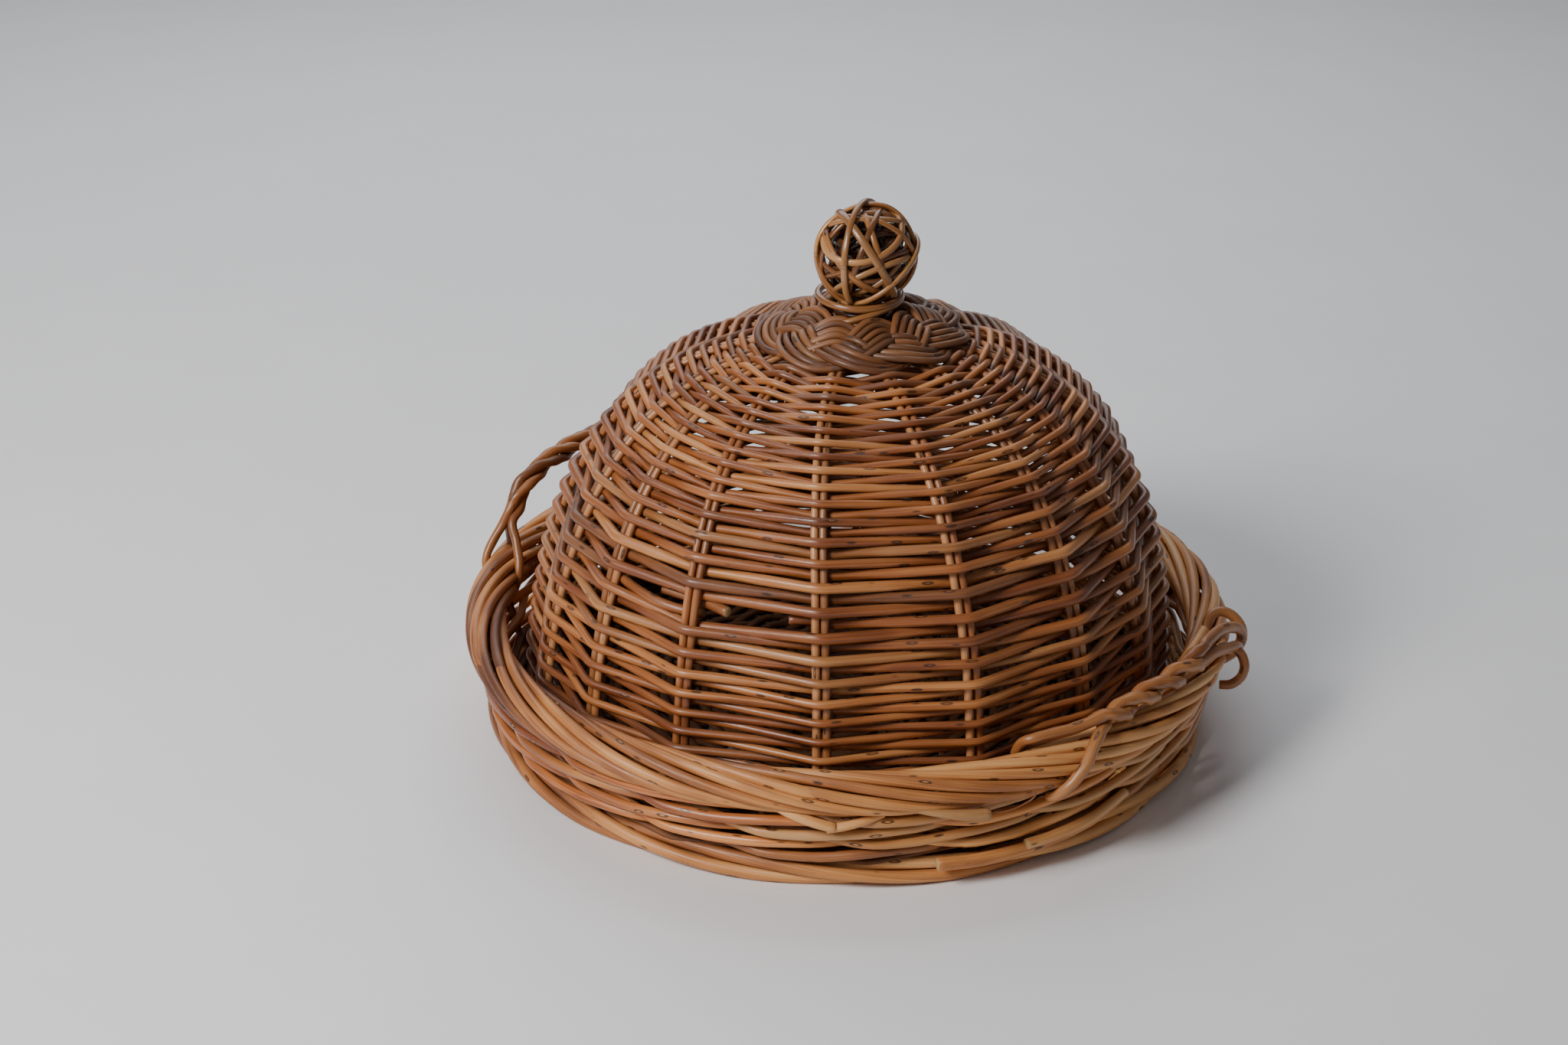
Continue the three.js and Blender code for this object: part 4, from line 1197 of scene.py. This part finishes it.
def make_border():
    bundle = Bundle(seed=630)
    rng = bundle.random
    for strand in range(BORDER_STRANDS):
        start = rng.uniform(0, TURN)
        for half in range(2):
            first = start + math.pi * half - BORDER_TUCK
            last = start + math.pi * (half + 1) + BORDER_TUCK * BORDER_OVERLAP
            line = border_rod(strand, first, last, rng)
            # The tone is lowered by painted shade on one side of the tray
            tone = rng.uniform(*BORDER_TONES) - BORDER_PAINTED_SHADE * painted_shade_share(line)
            bundle.rod(line, tone=tone, age=0, sides=MANY_SIDES)
    for cut in BORDER_CUTS:
        bundle.rod(flowing(rod_end(cut)), tone=0.9)
    bundle.rod(flowing(rod_end(SLIVER)), tone=0, sides=6)
    nodes = numbered("tray_border_strand", 6)
    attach(bundle.piece("tray_border_willow", "tray", "border_willow", *nodes), "tray")


# Handles
def twisted(centres, sides, rod, strands, twists, strand):
    """Stations of one strand of a rope along a line of centres."""
    share = np.linspace(0, 1, len(centres))
    ahead = unit(np.gradient(centres, axis=0))
    across = np.cross(ahead, sides)
    turn = TURN * (twists * share + strand / strands) - QUARTER
    out = sides * np.cos(turn)[:, None] + across * np.sin(turn)[:, None]
    spread = (rod + STRAND_GAP) / 2 / math.sin(math.pi / strands)
    return np.column_stack([centres + out * spread, np.full(len(centres), rod / 2)])


def rope_lobes(line, rope):
    """How strongly a strand shows its plies: most along the rope and less in its smooth ends."""
    places = places_along(line[:, :3])
    first = places[nearest(line, rope[0])]
    last = places[nearest(line, rope[-1])]
    inside = np.minimum(places - first, last - places) / PLY_FADE
    return PLY_DEPTH + PLY_DEEPER * np.clip(inside + 1, 0, 1)


def nearest(line, point):
    return int(np.argmin(np.linalg.norm(line[:, :3] - point[:3], axis=1)))


def make_lying_handle():
    """Two halves, because each blends into the tray at its own end."""
    near, far = Bundle(seed=700), Bundle(seed=701)
    share = np.linspace(0, 1, ROPE_POINTS)
    angle = LYING_FROM + (LYING_TO - LYING_FROM) * share
    distance = np.interp(share, LYING_SHARES, LYING_DISTANCES)
    centres = polar(angle, distance, LYING_HEIGHT)
    nodes = numbered("lying_handle_strand", 2)
    strands = len(nodes)
    for strand in range(strands):
        rope = twisted(centres, outwards(angle), LYING_ROD, strands, LYING_TWISTS, strand)
        ends = [rod_end(side[strand]) for side in (LYING_NEAR_ENDS, LYING_FAR_ENDS)]
        line = flowing(np.vstack([ends[0], rope, ends[1]]))
        depth = rope_lobes(line, rope)
        seam = nearest(line, rope[round(LYING_SEAMS[strand] * (ROPE_POINTS - 1))])
        tone = near.random.uniform(*LYING_TONES)
        for half, part in ((near, slice(seam + 1)), (far, slice(seam, None))):
            lobes = (PLIES, depth[part], LYING_PLY_PITCH)
            half.rod(line[part], tone=tone, age=0, lobes=lobes, sides=ROPE_SIDES)
    far.rod(flowing(rod_end(LYING_LOOP)), tone=0.6, age=0, sides=MANY_SIDES)
    far.rod(flowing(rod_end(LYING_WRAP)), tone=0.8, age=0, sides=MANY_SIDES)
    made = near.piece("lying_handle_near_half", "tray", "handle_willow", *nodes, "handle_tie_1")
    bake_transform(made)
    made = far.piece("lying_handle_far_half", "tray", "handle_willow", *nodes, "handle_tie_2")
    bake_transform(made)


def make_standing_handle():
    bundle = Bundle(seed=710)
    points = 200
    turn = np.linspace(math.pi, 0, points)
    power = 2 / STANDING_SQUARENESS
    along = np.sign(np.cos(turn)) * np.abs(np.cos(turn)) ** power
    height = STANDING_FOOT + STANDING_RISE * np.abs(np.sin(turn)) ** power
    distance = BORDER_RADIUS * math.cos(STANDING_HALF_ANGLE)
    half_span = BORDER_RADIUS * math.sin(STANDING_HALF_ANGLE)
    arch = np.column_stack([np.full_like(along, -distance), half_span * along, height])
    arch = arch[height >= STANDING_SPLAY]
    places = places_along(arch)
    even = np.linspace(0, places[-1], ROPE_POINTS)
    centres = np.column_stack([np.interp(even, places, column) for column in arch.T])
    inwards = np.broadcast_to([1.0, 0, 0], centres.shape)
    for strand in range(STANDING_STRANDS):
        rope = twisted(centres, inwards, STANDING_ROD, STANDING_STRANDS, STANDING_TWISTS, strand)
        end = rod_end(STANDING_ENDS[strand])
        other_end = end[::-1] * [1, -1, 1, 1]
        line = flowing(np.vstack([end, rope, other_end]))
        lobes = (PLIES, rope_lobes(line, rope), STANDING_PLY_PITCH)
        bundle.rod(swayed(line, STANDING_SWAY, bundle.random), lobes=lobes, sides=ROPE_SIDES)
    nodes = numbered("standing_handle_strand", 3) + numbered("handle_tie", 4)[2:]
    made = bundle.piece("standing_handle_rope", "tray", "handle_willow", *nodes)
    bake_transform(made)


# Stage, in metres
STUDIO_HALF = 12
FLOOR_GREY = srgb(236, 236, 238)
FLOOR_WHITE = srgb(244, 244, 246)
FLOOR_ROUGHNESS = 0.6
CLOUD_SCALE = (9, 9, 9)
LIT_PLACE = (0, 0, 0.1)
SKY_COLOUR = (0.9, 0.95, 1.0, 1.0)
SKY_STRENGTH = 0.15


def make_camera():
    data = bpy.data.cameras.new("camera")
    data.lens = CAMERA_LENS
    data.sensor_width = SENSOR_WIDTH
    data.clip_start = CLIP_START * MM
    camera = added("camera", data)
    towards = Vector(image_axes()[2])
    camera.location = (Vector(CAMERA_TARGET) + towards * CAMERA_DISTANCE) * MM
    camera.rotation_euler = towards.to_track_quat("Z", "Y").to_euler()
    bpy.context.scene.camera = camera


def make_light(name, right, up, towards, size, power, colour):
    """A soft square light, placed in metres as seen from the camera and facing the basket."""
    axes = image_axes()
    place = Vector(axes[0] * right + axes[1] * up + axes[2] * towards)
    data = bpy.data.lights.new(name, "AREA")
    data.shape = "SQUARE"
    data.size = size
    data.energy = power
    data.color = colour
    light = added(name, data)
    light.location = place
    light.rotation_euler = (place - Vector(LIT_PLACE)).to_track_quat("Z", "Y").to_euler()


def make_floor_plane():
    mesh = bpy.data.meshes.new("studio_floor")
    corners = [(x * STUDIO_HALF, y * STUDIO_HALF, 0) for x, y in ((-1, -1), (1, -1), (1, 1), (-1, 1))]
    mesh.from_pydata(corners, [], [(0, 1, 2, 3)])
    material = bpy.data.materials.new("studio_floor")
    material.use_nodes = True
    graph = Graph(material.node_tree)
    place = graph.node("TexCoord").outputs["Object"]
    cloudy = graph.noise(graph.scaled(place, CLOUD_SCALE), detail=5, roughness=0.6)
    colour = graph.mix(cloudy, FLOOR_GREY, FLOOR_WHITE)
    shader = graph.node("BsdfPrincipled", Base_Color=colour, Roughness=FLOOR_ROUGHNESS)
    graph.feed(graph.node("OutputMaterial").inputs["Surface"], shader.outputs[0])
    mesh.materials.append(material)
    added("studio_floor", mesh)


def make_world():
    world = bpy.data.worlds.new("studio")
    bpy.context.scene.world = world
    world.use_nodes = True
    background = world.node_tree.nodes["Background"]
    background.inputs["Color"].default_value = SKY_COLOUR
    background.inputs["Strength"].default_value = SKY_STRENGTH


make_camera()
make_world()
make_floor_plane()
make_light("key", right=-1.15, up=0.72, towards=1.4, size=0.6, power=34, colour=(1.0, 0.98, 0.95))
make_light("ceiling", right=-0.2, up=1.7, towards=-0.5, size=1.6, power=16, colour=(0.95, 0.97, 1.0))

make_stakes()
make_rim()
make_weavers()
make_plait()
make_cross()
make_binding()
make_ball()
make_floor()
make_wall()
make_foot()
make_border()
make_lying_handle()
make_standing_handle()
